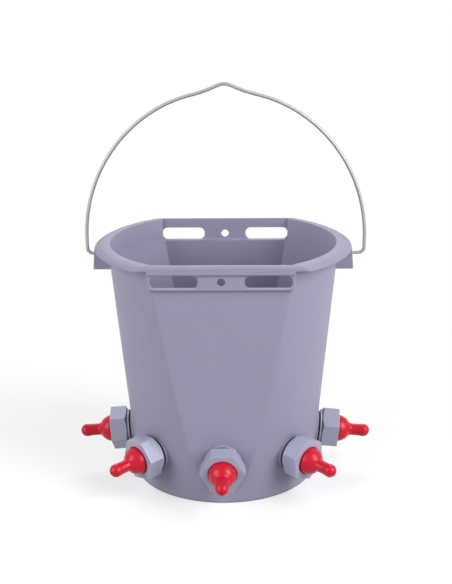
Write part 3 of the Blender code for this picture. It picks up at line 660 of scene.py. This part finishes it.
def make_cap_nut(number, material):
    """Hexagon cap nut: chamfered back, round edges, threaded bore and a rounded teat hole."""
    angles = hexagon_angles(NUT_APOTHEM, NUT_CORNER)
    turn = math.radians(NUT_TURN_DEG[number - 1])
    back_r = NUT_APOTHEM - SEAT_GAP
    slope = NUT_CHAMFER / (NUT_APOTHEM / math.cos(math.pi / 6) - back_r)
    plate_back = NUT_FACE - NUT_PLATE
    edge, rim, rows = 0.0006, 0.0008, 34
    side_low, side_run = NUT_BACK + 0.0022, NUT_FACE - NUT_BACK - 0.0032
    rings = []

    def full(angle):
        return hexagon_radius(angle, NUT_APOTHEM, NUT_CORNER)

    def partway(angle):
        return full(angle) * 0.6 + back_r * 0.4 - 0.0002

    def cone(radius):
        return NUT_BACK + slope * (radius - back_r)

    def add(radius, height):
        rings.append(polar(angles, turn, radius, height))

    add(NUT_BORE + 0.0006, NUT_BACK)
    add(back_r - 0.0007, NUT_BACK)
    add(back_r - 0.0002, NUT_BACK + 0.00008)
    add(partway, lambda a: cone(partway(a)) + 0.0001)
    add(lambda a: full(a) - 0.0003, lambda a: cone(full(a) - 0.0003) + 0.00008)
    add(lambda a: full(a) - 0.00007, lambda a: cone(full(a)) + 0.00005)
    add(full, lambda a: cone(full(a)) + 0.0004)
    for share in (0.33, 0.66):
        add(full, side_low + side_run * share)
    for deg in (0.0, 30.0, 60.0, 90.0):
        inset, up = round_edge(edge, deg)
        add(lambda a: hexagon_radius(a, NUT_APOTHEM - inset, NUT_CORNER - inset * 0.5),
            NUT_FACE + up)
    add(lambda a: 0.5 * (full(a) + NUT_HOLE), NUT_FACE)
    for deg in (90.0, 60.0, 30.0, 0.0):
        out, up = round_edge(rim, deg)
        add(NUT_HOLE + out, NUT_FACE + up)
    add(NUT_HOLE, plate_back + 0.0002)
    add(NUT_HOLE + 0.0002, plate_back)
    add(NUT_BORE - 0.0002, plate_back)
    add(NUT_BORE, plate_back - 0.0002)
    high, low = plate_back - 0.0004, NUT_BACK + 0.0006
    for i in range(rows + 1):
        height = high + (low - high) * i / rows
        depth = THREAD_DEPTH * fade(height, NUT_BACK + 0.0008, NUT_THREAD_END, 0.0012)
        add(lambda a: NUT_BORE - depth * (1.0 - thread_height(a + turn, height)), height)
    nut = on_valve(skin(f"moulded_cap_nut_{number}", rings, True, material, 38.0), number)
    weigh_flats(nut)
    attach(nut, f"cap_nut_{number}")
    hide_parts(f"cap_nut_{number}")


def make_spigot(number, material):
    """Valve body: threaded spigot, collar, threaded stub, ball seat and chamber."""
    angles = directions(VALVE_SIDES)
    edge = 0.0005
    stub_thread = 0.0006
    stub_root = STUB_RADIUS - stub_thread
    rings = []

    def add(radius, height):
        rings.append(polar(angles, 0.0, radius, height))

    def threaded(root, depth, high, low, rows, run):
        for i in range(rows + 1):
            height = high + (low - high) * i / rows
            part = depth * fade(height, low, high, run)
            add(lambda a: root + part * thread_height(a, height), height)

    add(POCKET_RADIUS, SPIGOT_END - 0.0003)
    add(POCKET_RADIUS + 0.0003, SPIGOT_END)
    add(SPIGOT_ROOT - 0.0003, SPIGOT_END)
    threaded(SPIGOT_ROOT, THREAD_DEPTH, SPIGOT_END - 0.0003, COLLAR_FRONT + 0.0007, 32, 0.0012)
    add(SPIGOT_ROOT, COLLAR_FRONT)
    front = round_corner(COLLAR_RADIUS - edge, COLLAR_FRONT - edge, edge, 90.0, 0.0, 4)
    back = round_corner(COLLAR_RADIUS - edge, COLLAR_BACK + edge, edge, 0.0, -90.0, 4)
    for radius, height in front + back:
        add(radius, height)
    add(stub_root, COLLAR_BACK)
    threaded(stub_root, stub_thread, COLLAR_BACK - 0.0005, STUB_END + 0.0006, 44, 0.0010)
    for radius, height in (
        (STUB_RADIUS - 0.0010, STUB_END), (INLET_RADIUS + 0.0005, STUB_END),
        (INLET_RADIUS, STUB_END + 0.0005), (INLET_RADIUS, SEAT_FOOT),
        (CHAMBER_RADIUS, SEAT_TOP), (CHAMBER_RADIUS, POCKET_FLOOR),
        (POCKET_RADIUS, POCKET_FLOOR),
    ):
        add(radius, height)
    body = on_valve(skin(f"valve_spigot_{number}", rings, True, material, 40.0), number)
    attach(body, "shell")
    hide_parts(f"valve_body_{number}")


def make_clamp_nut(number, material):
    """Hexagon nut inside the bucket, chamfered on both faces, with a plain hole."""
    high, low = BOSS_BACK - SEAT_GAP, BOSS_BACK - SEAT_GAP - CLAMP_THICKNESS
    angles = hexagon_angles(CLAMP_APOTHEM, CLAMP_CORNER)
    turn = math.radians(CLAMP_TURN_DEG)
    flat_r = CLAMP_APOTHEM - 0.0004
    slope = CLAMP_CHAMFER / (CLAMP_APOTHEM / math.cos(math.pi / 6) - flat_r)
    rings = []

    def full(angle):
        return hexagon_radius(angle, CLAMP_APOTHEM, CLAMP_CORNER)

    for end, way in ((high, -1.0), (low, 1.0)):
        face = [
            (STUB_HOLE + 0.0004, end),
            (flat_r - 0.0004, end),
            (lambda a: 0.5 * (full(a) + flat_r) - 0.0002,
             lambda a: end + way * slope * (0.5 * (full(a) - flat_r))),
            (lambda a: full(a) - 0.0001, lambda a: end + way * slope * (full(a) - flat_r)),
            (full, lambda a: end + way * (slope * (full(a) - flat_r) + 0.0003)),
        ]
        for radius, height in face if way < 0 else reversed(face):
            rings.append(polar(angles, turn, radius, height))
    for height in (low + 0.0004, high - 0.0004):
        rings.append(polar(angles, turn, STUB_HOLE, height))
    nut = on_valve(skin(f"clamp_nut_{number}", rings, True, material, 38.0), number)
    weigh_flats(nut)
    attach(nut, "shell")
    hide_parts(f"lock_nut_{number}")


def make_washer(number, material):
    """Black rubber washer between wall and collar, a little bulged at its edge."""
    low, high = SEAT_GAP, WASHER_FRONT
    middle, hole, edge = (low + high) / 2, 0.0115, 0.0002
    flat_r, side_r = WASHER_RADIUS - edge, WASHER_RADIUS - 0.00007
    profile = [(hole, high), (flat_r, high), (side_r, high - edge), (WASHER_RADIUS, middle),
               (side_r, low + edge), (flat_r, low), (hole, low)]
    rings = turned(profile, VALVE_SIDES)
    washer = on_valve(skin(f"sealing_washer_{number}", rings, True, material, 50.0), number)
    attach(washer, "shell")
    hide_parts(f"gasket_{number}")


def make_teat(number, material):
    """Hollow rubber teat: flange, bulb, soft neck, nipple, swollen tip and its small hole."""
    bulb, neck_round, nipple, tip, reach = 0.0148, 0.0050, 0.0065, 0.0070, 0.0362
    wall, bore, hole = 0.0020, 0.0036, 0.0009
    flange_r, flange_thickness, edge = 0.0178, 0.0022, 0.0003
    tip_run, tip_back_deg = 0.0045, 8.0
    seam_width, seam_proud = 0.05, 0.00010
    flange_front = NUT_FACE - NUT_PLATE - SEAT_GAP
    flange_back = flange_front - flange_thickness
    neck_r = nipple + neck_round
    neck_z = NUT_FACE + math.sqrt((bulb + neck_round) ** 2 - neck_r ** 2)
    tip_z = NUT_FACE + reach - tip
    meet = math.degrees(math.atan2(neck_z - NUT_FACE, neck_r))
    inner = bulb - wall
    inner_meet = math.degrees(math.acos(bore / inner))
    profile = round_corner(0.0, tip_z, tip, math.degrees(math.acos(hole / tip)), -tip_back_deg, 12)
    start_r, start_z = profile[-1]
    for share in (0.25, 0.5, 0.75, 1.0):
        ease = eased(share)
        profile.append((start_r * (1 - ease) + nipple * ease, start_z - tip_run * share))
    profile += round_corner(neck_r, neck_z, neck_round, 180.0, 180.0 + meet, 9)
    profile += round_corner(0.0, NUT_FACE, bulb, meet, 0.0, 12)[1:]
    profile += [
        (bulb, NUT_FACE - 0.0015), (bulb, flange_front + edge), (bulb + edge, flange_front),
        (flange_r - edge, flange_front), (flange_r, flange_front - edge),
        (flange_r, flange_back + edge), (flange_r - edge, flange_back), (inner, flange_back),
    ]
    profile += round_corner(0.0, NUT_FACE, inner, 0.0, inner_meet, 10)
    profile += [(bore, tip_z), (hole, tip_z + math.sqrt(bore ** 2 - hole ** 2))]
    angles = directions(VALVE_SIDES)

    def seam(angle):
        return max(1.0 - abs(math.sin(angle)) / seam_width, 0.0) * seam_proud

    rings = []
    for radius, height in profile:
        outside = radius > 0.0060 and height > NUT_FACE + 0.0010
        seamed = (lambda a: radius + seam(a)) if outside else radius
        rings.append(polar(angles, 0.0, seamed, height))
    teat = on_valve(skin(f"rubber_teat_{number}", rings, True, material, 45.0), number)
    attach(teat, f"teat_{number}")
    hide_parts(f"teat_{number}")


def make_ball(number, material):
    """Round check ball in the place of the coarse one."""
    low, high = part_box(f"check_ball_{number}")
    mesh = bpy.data.meshes.new(f"round_ball_{number}")
    shape = bmesh.new()
    bmesh.ops.create_icosphere(shape, subdivisions=4, radius=BALL_RADIUS)
    bmesh.ops.translate(shape, verts=shape.verts, vec=(low + high) / 2)
    shape.to_mesh(mesh)
    shape.free()
    ball = place(f"round_ball_{number}", mesh, material)
    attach(ball, f"check_ball_{number}")
    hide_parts(f"check_ball_{number}")


# Shader node groups

def new_group(name, vectors, numbers, results):
    """An empty shader node group, as (group, the sockets given to it, its result sockets)."""
    group = bpy.data.node_groups.new(name, "ShaderNodeTree")
    for socket in vectors:
        group.interface.new_socket(socket, in_out="INPUT", socket_type="NodeSocketVector")
    for socket, value in numbers.items():
        made = group.interface.new_socket(socket, in_out="INPUT", socket_type="NodeSocketFloat")
        made.default_value = value
    for socket in results:
        group.interface.new_socket(socket, in_out="OUTPUT", socket_type="NodeSocketFloat")
    entry, result = group.nodes.new("NodeGroupInput"), group.nodes.new("NodeGroupOutput")
    return group, entry.outputs, result.inputs


def feed(tree, target, value):
    """Give a socket either a constant or a link."""
    if isinstance(value, bpy.types.NodeSocket):
        tree.links.new(value, target)
    else:
        target.default_value = value


def add_node(tree, kind, *first, operation=None, **named):
    """Add a node; its first inputs go by place and further ones by name."""
    node = tree.nodes.new(kind)
    if operation is not None:
        node.operation = operation
    for socket, value in [*enumerate(first), *named.items()]:
        feed(tree, node.inputs[socket], value)
    return node


def math_node(tree, operation, first, second):
    """A Math node; gives its output."""
    return add_node(tree, "ShaderNodeMath", first, second, operation=operation).outputs[0]


def times(tree, first, second):
    """Product of two values."""
    return math_node(tree, "MULTIPLY", first, second)


def plus(tree, first, second):
    """Sum of two values."""
    return math_node(tree, "ADD", first, second)


def noise_node(tree, vector, scale, detail, rough, distortion=0.0):
    """A Noise texture; gives its value."""
    return add_node(tree, "ShaderNodeTexNoise", Vector=vector, Scale=scale, Detail=detail,
                    Roughness=rough, Distortion=distortion).outputs["Fac"]


def range_node(tree, value, low, high, to_low=0.0, to_high=1.0, smooth=False):
    """A Map Range node, clamped; gives its result."""
    node = add_node(tree, "ShaderNodeMapRange", value, low, high, to_low, to_high)
    node.interpolation_type = "SMOOTHSTEP" if smooth else "LINEAR"
    return node.outputs["Result"]


def patches(tree, vector, noise, low, high, to_low=0.0, to_high=1.0):
    """Soft patches: a noise of (scale, detail, roughness), spread between two of its values."""
    return range_node(tree, noise_node(tree, vector, *noise), low, high, to_low, to_high)


def stretched(tree, vector, scale):
    """Coordinates scaled by a vector."""
    return add_node(tree, "ShaderNodeVectorMath", vector, scale, operation="MULTIPLY").outputs[0]


def give_mask(group, given, result, mask):
    """Give a mask, scaled by the group's Amount, as the group's result."""
    group.links.new(times(group, mask, given["Amount"]), result["Mask"])


def make_moulded_grain():
    """Fine mould texture: a height for the bump and a soft value for the sheen."""
    group, given, result = new_group(
        "moulded grain", ["Vector"], {"Size": 1800.0, "Waviness": 0.3}, ["Height", "Sheen"])
    vector = given["Vector"]
    fine = noise_node(group, vector, given["Size"], 2.0, 0.6)
    wave = times(group, noise_node(group, vector, 38.0, 2.0, 0.45), given["Waviness"])
    group.links.new(plus(group, fine, wave), result["Height"])
    group.links.new(patches(group, vector, (95.0, 4.0, 0.6), 0.3, 0.7), result["Sheen"])
    return group


def make_cloudy_tint():
    """Slow colour variation, as a factor round one."""
    group, given, result = new_group(
        "cloudy tint", ["Vector"], {"Size": 14.0, "Amount": 0.05}, ["Factor"])
    broad = noise_node(group, given["Vector"], given["Size"], 3.0, 0.55, 0.4)
    speck = noise_node(group, given["Vector"], 900.0, 1.0, 0.5)
    mixed = plus(group, times(group, broad, 0.85), times(group, speck, 0.15))
    centred = math_node(group, "SUBTRACT", mixed, 0.5)
    swing = times(group, times(group, centred, given["Amount"]), 2.0)
    group.links.new(plus(group, swing, 1.0), result["Factor"])
    return group


def make_edge_wear_and_highlight():
    """Mask of edges whitened by handling, which also paints highlights and glints on them, found
    from how the rounded normal leaves the true one.
    """
    group, given, result = new_group(
        "edge wear", ["Vector"], {"Reach": 0.0009, "Amount": 0.6}, ["Mask"])
    bevel = add_node(group, "ShaderNodeBevel", Radius=given["Reach"])
    bevel.samples = 4
    geometry = add_node(group, "ShaderNodeNewGeometry")
    dot = add_node(group, "ShaderNodeVectorMath", bevel.outputs["Normal"],
                   geometry.outputs["Normal"], operation="DOT_PRODUCT")
    # Convex edges: whitened by handling and lightened as a painted highlight.
    edge = range_node(group, dot.outputs["Value"], 0.995, 0.86)
    breakup = patches(group, given["Vector"], (160.0, 4.0, 0.65), 0.32, 0.68)
    give_mask(group, given, result, times(group, edge, breakup))
    return group


def make_hairline_scuffs():
    """Mask of thin handling scratches in two slants."""
    group, given, result = new_group("hairline scuffs", ["Vector"], {"Amount": 0.3}, ["Mask"])
    found = 0.0
    for turn, squeeze in ((0.5, (900.0, 60.0, 40.0)), (-0.9, (45.0, 820.0, 70.0))):
        rotate = add_node(group, "ShaderNodeVectorRotate", given["Vector"])
        rotate.rotation_type = "EULER_XYZ"
        rotate.inputs["Rotation"].default_value = (turn, turn * 0.7, turn * 0.4)
        drawn = stretched(group, rotate.outputs[0], squeeze)
        thin = patches(group, drawn, (1.0, 1.0, 0.4), 0.70, 0.78)
        found = math_node(group, "MAXIMUM", found, thin)
    where = patches(group, given["Vector"], (22.0, 2.0, 0.5), 0.45, 0.65)
    give_mask(group, given, result, times(group, found, where))
    return group


def make_settled_dust():
    """Mask of pale dust on level faces and low on the walls."""
    group, given, result = new_group(
        "settled dust", ["Vector", "Normal"], {"Foot": 0.03, "Amount": 0.2}, ["Mask"])
    facing = add_node(group, "ShaderNodeSeparateXYZ", given["Normal"]).outputs["Z"]
    height = add_node(group, "ShaderNodeSeparateXYZ", given["Vector"]).outputs["Z"]
    level = range_node(group, facing, 0.75, 1.0, 0.0, 0.7)
    low = range_node(group, height, given["Foot"], 0.0, 0.0, 0.8, smooth=True)
    both = math_node(group, "MAXIMUM", level, low)
    patch = patches(group, given["Vector"], (60.0, 5.0, 0.65), 0.35, 0.75)
    give_mask(group, given, result, times(group, both, patch))
    return group


def make_painted_corner_shade():
    """Mask of painted shade in corners and under overhangs, taken from ambient occlusion."""
    group, given, result = new_group(
        "corner grime", ["Vector"], {"Reach": 0.010, "Amount": 0.5}, ["Mask"])
    # Ambient occlusion paints shade into the colour where corners and overhangs close in.
    corner = add_node(group, "ShaderNodeAmbientOcclusion", Distance=given["Reach"])
    corner.samples = 8
    shut = range_node(group, corner.outputs["AO"], 0.70, 0.15, smooth=True)
    patch = patches(group, given["Vector"], (70.0, 4.0, 0.6), 0.25, 0.65, 0.6)
    give_mask(group, given, result, times(group, shut, patch))
    return group


EFFECTS = {
    "grain": make_moulded_grain(),
    "tint": make_cloudy_tint(),
    # Edge mask: handling marks and painted highlights on convex edges.
    "wear_and_highlight": make_edge_wear_and_highlight(),
    "scuffs": make_hairline_scuffs(),
    "dust": make_settled_dust(),
    # Painted shade in corners and under overhangs.
    "painted_shade": make_painted_corner_shade(),
}


# Materials

PLASTIC_DUST = (0.60, 0.58, 0.56)
RUBBER_DUST = (0.60, 0.56, 0.54)


def start_material(name, roughness, metallic=0.0, specular=0.5):
    """A material with its node tree, its Principled shader and its texture coordinates."""
    material = bpy.data.materials.new(name)
    material.use_nodes = True
    tree = material.node_tree
    shader = tree.nodes["Principled BSDF"]
    shader.inputs["Roughness"].default_value = roughness
    shader.inputs["Metallic"].default_value = metallic
    shader.inputs["Specular IOR Level"].default_value = specular
    coords = tree.nodes.new("ShaderNodeTexCoord").outputs
    return material, tree, shader, coords


def effect(tree, name, **values):
    """Place one of the shared effects with its own values; gives its outputs."""
    node = tree.nodes.new("ShaderNodeGroup")
    node.node_tree = EFFECTS[name]
    for socket, value in values.items():
        feed(tree, node.inputs[socket], value)
    return node.outputs


def mix_colour(tree, factor, first, second):
    """A colour Mix node; gives its result."""
    node = tree.nodes.new("ShaderNodeMix")
    node.data_type = "RGBA"
    feed(tree, node.inputs["Factor"], factor)
    feed(tree, node.inputs[6], first)
    feed(tree, node.inputs[7], (*second, 1.0))
    return node.outputs[2]


def scaled_colour(tree, colour, factor):
    """A colour times a factor that varies over the surface."""
    return add_node(tree, "ShaderNodeVectorMath", colour, operation="SCALE",
                    Scale=factor).outputs[0]


def finish_look(tree, shader, base, rough, height, depth):
    """Feed colour, roughness and a bump; depth is the texture's real height in metres."""
    bump = add_node(tree, "ShaderNodeBump", Distance=depth, Height=height)
    tree.links.new(base, shader.inputs["Base Color"])
    tree.links.new(rough, shader.inputs["Roughness"])
    tree.links.new(bump.outputs["Normal"], shader.inputs["Normal"])


def moulded_plastic(name, colour, worn_and_highlight, roughness, grain_size, tint, wear_and_highlight, scuffs, dust, painted_shade,
                    grain_depth=0.00003):
    """Moulded plastic: cloudy colour, grain, edges whitened by handling and lit with painted
    highlights, hairlines, dust and painted shade in corners.
    """
    material, tree, shader, coords = start_material(name, roughness)
    here = coords["Object"]
    cloud = effect(tree, "tint", Vector=here, Size=14.0, Amount=tint)
    grain = effect(tree, "grain", Vector=here, Size=grain_size)
    # Lightened edges: handling marks and painted highlights and glints.
    rubbed_and_highlight = effect(tree, "wear_and_highlight", Vector=here, Amount=wear_and_highlight)["Mask"]
    lines = effect(tree, "scuffs", Vector=here, Amount=scuffs)["Mask"]
    dusty = effect(tree, "dust", Vector=here, Normal=coords["Normal"], Amount=dust)["Mask"]
    # Painted shade in corners, under the lip and round the nuts.
    shade_mask = effect(tree, "painted_shade", Vector=here, Amount=painted_shade)["Mask"]
    # A darkened copy of the colour, used as painted shade.
    shade_colour = tuple(0.35 * part for part in colour)
    base = scaled_colour(tree, colour, cloud["Factor"])
    # Lightened edges and hairlines, dust, then painted shade are mixed over the colour.
    for mask, over in ((rubbed_and_highlight, worn_and_highlight), (lines, worn_and_highlight), (dusty, PLASTIC_DUST), (shade_mask, shade_colour)):
        base = mix_colour(tree, mask, base, over)
    rough = range_node(tree, grain["Sheen"], 0.0, 1.0, roughness - 0.05, roughness + 0.05)
    rough = plus(tree, rough, times(tree, lines, 0.15))
    rough = plus(tree, rough, times(tree, dusty, 0.3))
    scratched = math_node(tree, "SUBTRACT", grain["Height"], lines)
    finish_look(tree, shader, base, rough, scratched, grain_depth)
    return material


def soft_rubber(name, colour, bloom, roughness, shine, dust):
    """Moulded rubber: even colour with a faint bloom, fine pores and a soft shine."""
    material, tree, shader, coords = start_material(name, roughness, specular=shine)
    here = coords["Object"]
    cloud = effect(tree, "tint", Vector=here, Size=60.0, Amount=0.10)
    grain = effect(tree, "grain", Vector=here, Size=2600.0, Waviness=0.6)
    dusty = effect(tree, "dust", Vector=here, Normal=coords["Normal"], Foot=0.0, Amount=dust)
    patch = patches(tree, here, (210.0, 4.0, 0.6), 0.50, 0.80, 0.0, 0.10)
    base = scaled_colour(tree, colour, cloud["Factor"])
    base = mix_colour(tree, patch, base, bloom)
    base = mix_colour(tree, dusty["Mask"], base, RUBBER_DUST)
    rough = range_node(tree, grain["Sheen"], 0.0, 1.0, roughness - 0.05, roughness + 0.06)
    finish_look(tree, shader, base, rough, grain["Height"], 0.00003)
    return material


def galvanised_wire():
    """Dull zinc on drawn wire: faint spangle, fine draw lines and a few darker scuffed spots."""
    material, tree, shader, coords = start_material("galvanised_wire", 0.50, metallic=0.75)
    here = coords["Object"]
    cells = add_node(tree, "ShaderNodeTexVoronoi", Vector=here, Scale=420.0)
    flake = range_node(tree, cells.outputs["Distance"], 0.0, 0.8)
    cloud = effect(tree, "tint", Vector=here, Size=55.0, Amount=0.14)
    grain = effect(tree, "grain", Vector=here, Size=3200.0, Waviness=0.8)
    lines = effect(tree, "scuffs", Vector=here, Amount=0.35)
    base = scaled_colour(tree, (0.375, 0.373, 0.405), cloud["Factor"])
    base = mix_colour(tree, times(tree, flake, 0.12), base, (0.47, 0.47, 0.50))
    base = mix_colour(tree, lines["Mask"], base, (0.22, 0.22, 0.24))
    rough = range_node(tree, grain["Sheen"], 0.0, 1.0, 0.44, 0.56)
    finish_look(tree, shader, base, rough, grain["Height"], 0.00002)
    return material


# Stage

def seen_directly(tree, *kinds):
    """1 for the camera's rays and for further kinds of the Light Path, 0 for the rest."""
    path = add_node(tree, "ShaderNodeLightPath").outputs
    seen = path["Is Camera Ray"]
    for kind in kinds:
        seen = math_node(tree, "MAXIMUM", seen, path[kind])
    return seen


def make_floor():
    """A plain pale floor that keeps the shadow near the bucket and runs out into white."""
    mesh = bpy.data.meshes.new("studio_floor")
    half = 12.0
    corners = [(-half, -half, 0.0), (half, -half, 0.0), (half, half, 0.0), (-half, half, 0.0)]
    mesh.from_pydata(corners, [], [(0, 1, 2, 3)])
    material, tree, shader, coords = start_material("studio_floor", 0.9, specular=0.1)
    shader.inputs["Base Color"].default_value = (0.50, 0.50, 0.50, 1.0)
    length = add_node(tree, "ShaderNodeVectorMath", coords["Object"], operation="LENGTH")
    away = range_node(tree, length.outputs["Value"], 0.22, 0.60, smooth=True)
    seen = seen_directly(tree, "Is Glossy Ray", "Is Transmission Ray")
    glow = add_node(tree, "ShaderNodeEmission", Strength=times(tree, seen, 0.55))
    near = add_node(tree, "ShaderNodeAddShader", shader.outputs[0], glow.outputs[0])
    white = add_node(tree, "ShaderNodeEmission", Strength=1.0)
    blend = add_node(tree, "ShaderNodeMixShader", times(tree, away, seen), near.outputs[0],
                     white.outputs[0])
    tree.links.new(blend.outputs[0], tree.nodes["Material Output"].inputs["Surface"])
    floor = place("studio_floor", mesh, material)
    floor.location.z = -0.0002


def make_world():
    """Even pale surroundings: white to the camera and in reflections, softer as a light."""
    world = bpy.data.worlds.new("studio")
    bpy.context.scene.world = world
    world.use_nodes = True
    tree = world.node_tree
    back = tree.nodes["Background"]
    back.inputs["Color"].default_value = (1.0, 1.0, 1.0, 1.0)
    seen = seen_directly(tree, "Is Transmission Ray", "Is Glossy Ray")
    tree.links.new(math_node(tree, "MAXIMUM", seen, AMBIENT), back.inputs["Strength"])


def softbox(name, azimuth, elevation, size, power):
    """A soft lamp aimed at the bucket; azimuth runs from the front to the right, in degrees."""
    turn, rise = math.radians(azimuth), math.radians(elevation)
    way = Vector((math.sin(turn) * math.cos(rise), -math.cos(turn) * math.cos(rise),
                  math.sin(rise)))
    lamp = bpy.data.lights.new(name, "AREA")
    lamp.shape = "RECTANGLE"
    lamp.size, lamp.size_y = size
    lamp.energy = power
    item = link(name, lamp)
    item.location = LAMP_AIM + way * LAMP_DISTANCE
    item.rotation_euler = (-way).to_track_quat("-Z", "Y").to_euler()


def make_lights():
    """A tall softbox at each side, the right one stronger, and a weaker one behind."""
    softbox("right softbox", 60.0, 30.0, (1.2, 1.5), 43.0)
    softbox("left softbox", -58.0, 25.0, (1.0, 1.4), 26.5)
    softbox("back softbox", 180.0, 45.0, (1.4, 1.0), 14.0)


def make_camera():
    """The photograph's view: from the front, a little right of the middle and 20 degrees above."""
    data = bpy.data.cameras.new("camera")
    data.sensor_fit = "AUTO"
    data.sensor_width = 36.0
    data.lens = 76.24
    data.shift_x = 0.0034
    data.shift_y = 0.1267
    data.clip_start = 0.05
    data.clip_end = 50.0
    camera = link("camera", data)
    camera.location = (0.03067, -1.28638, 0.59414)
    camera.rotation_euler = tuple(math.radians(a) for a in (69.7715, 0.5166, 1.1883))
    bpy.context.scene.camera = camera


# Each plastic's edge amount and edge colour lighten its edges, as handling marks and as painted
# highlights and glints; its last amount paints shade into corners.
bucket_plastic = moulded_plastic(
    "bucket_polypropylene", (0.308, 0.289, 0.406), (0.50, 0.48, 0.58), 0.54,
    grain_size=1500.0, tint=0.05, wear_and_highlight=0.7, scuffs=0.25, dust=0.10, painted_shade=0.9)
nut_plastic = moulded_plastic(
    "nut_nylon", (0.375, 0.382, 0.520), (0.74, 0.75, 0.84), 0.31,
    grain_size=2400.0, tint=0.08, wear_and_highlight=0.9, scuffs=0.50, dust=0.04, painted_shade=0.6)
valve_plastic = moulded_plastic(
    "valve_nylon", (0.56, 0.59, 0.66), (0.72, 0.74, 0.78), 0.36,
    grain_size=2400.0, tint=0.05, wear_and_highlight=0.4, scuffs=0.30, dust=0.04, painted_shade=0.8)
ball_plastic = moulded_plastic(
    "ball_acetal", (0.80, 0.80, 0.78), (0.86, 0.86, 0.84), 0.25,
    grain_size=3000.0, tint=0.03, wear_and_highlight=0.0, scuffs=0.20, dust=0.0, painted_shade=0.2,
    grain_depth=0.00001)
teat_rubber = soft_rubber(
    "teat_rubber", (0.610, 0.002, 0.024), (0.66, 0.03, 0.07), 0.31, 0.32, dust=0.0)
washer_rubber = soft_rubber(
    "washer_rubber", (0.020, 0.020, 0.023), (0.07, 0.07, 0.075), 0.60, 0.50, dust=0.1)
wire_zinc = galvanised_wire()

make_shell(bucket_plastic)
make_bail(wire_zinc)
for valve in VALVES:
    make_washer(valve, washer_rubber)
    make_spigot(valve, valve_plastic)
    make_clamp_nut(valve, valve_plastic)
    make_cap_nut(valve, nut_plastic)
    make_teat(valve, teat_rubber)
    make_ball(valve, ball_plastic)
    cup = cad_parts[f"ball_retainer_{valve}"]
    cup.data.materials.clear()
    cup.data.materials.append(valve_plastic)

make_floor()
make_world()
make_lights()
make_camera()
bpy.context.scene.view_settings.view_transform = "Standard"
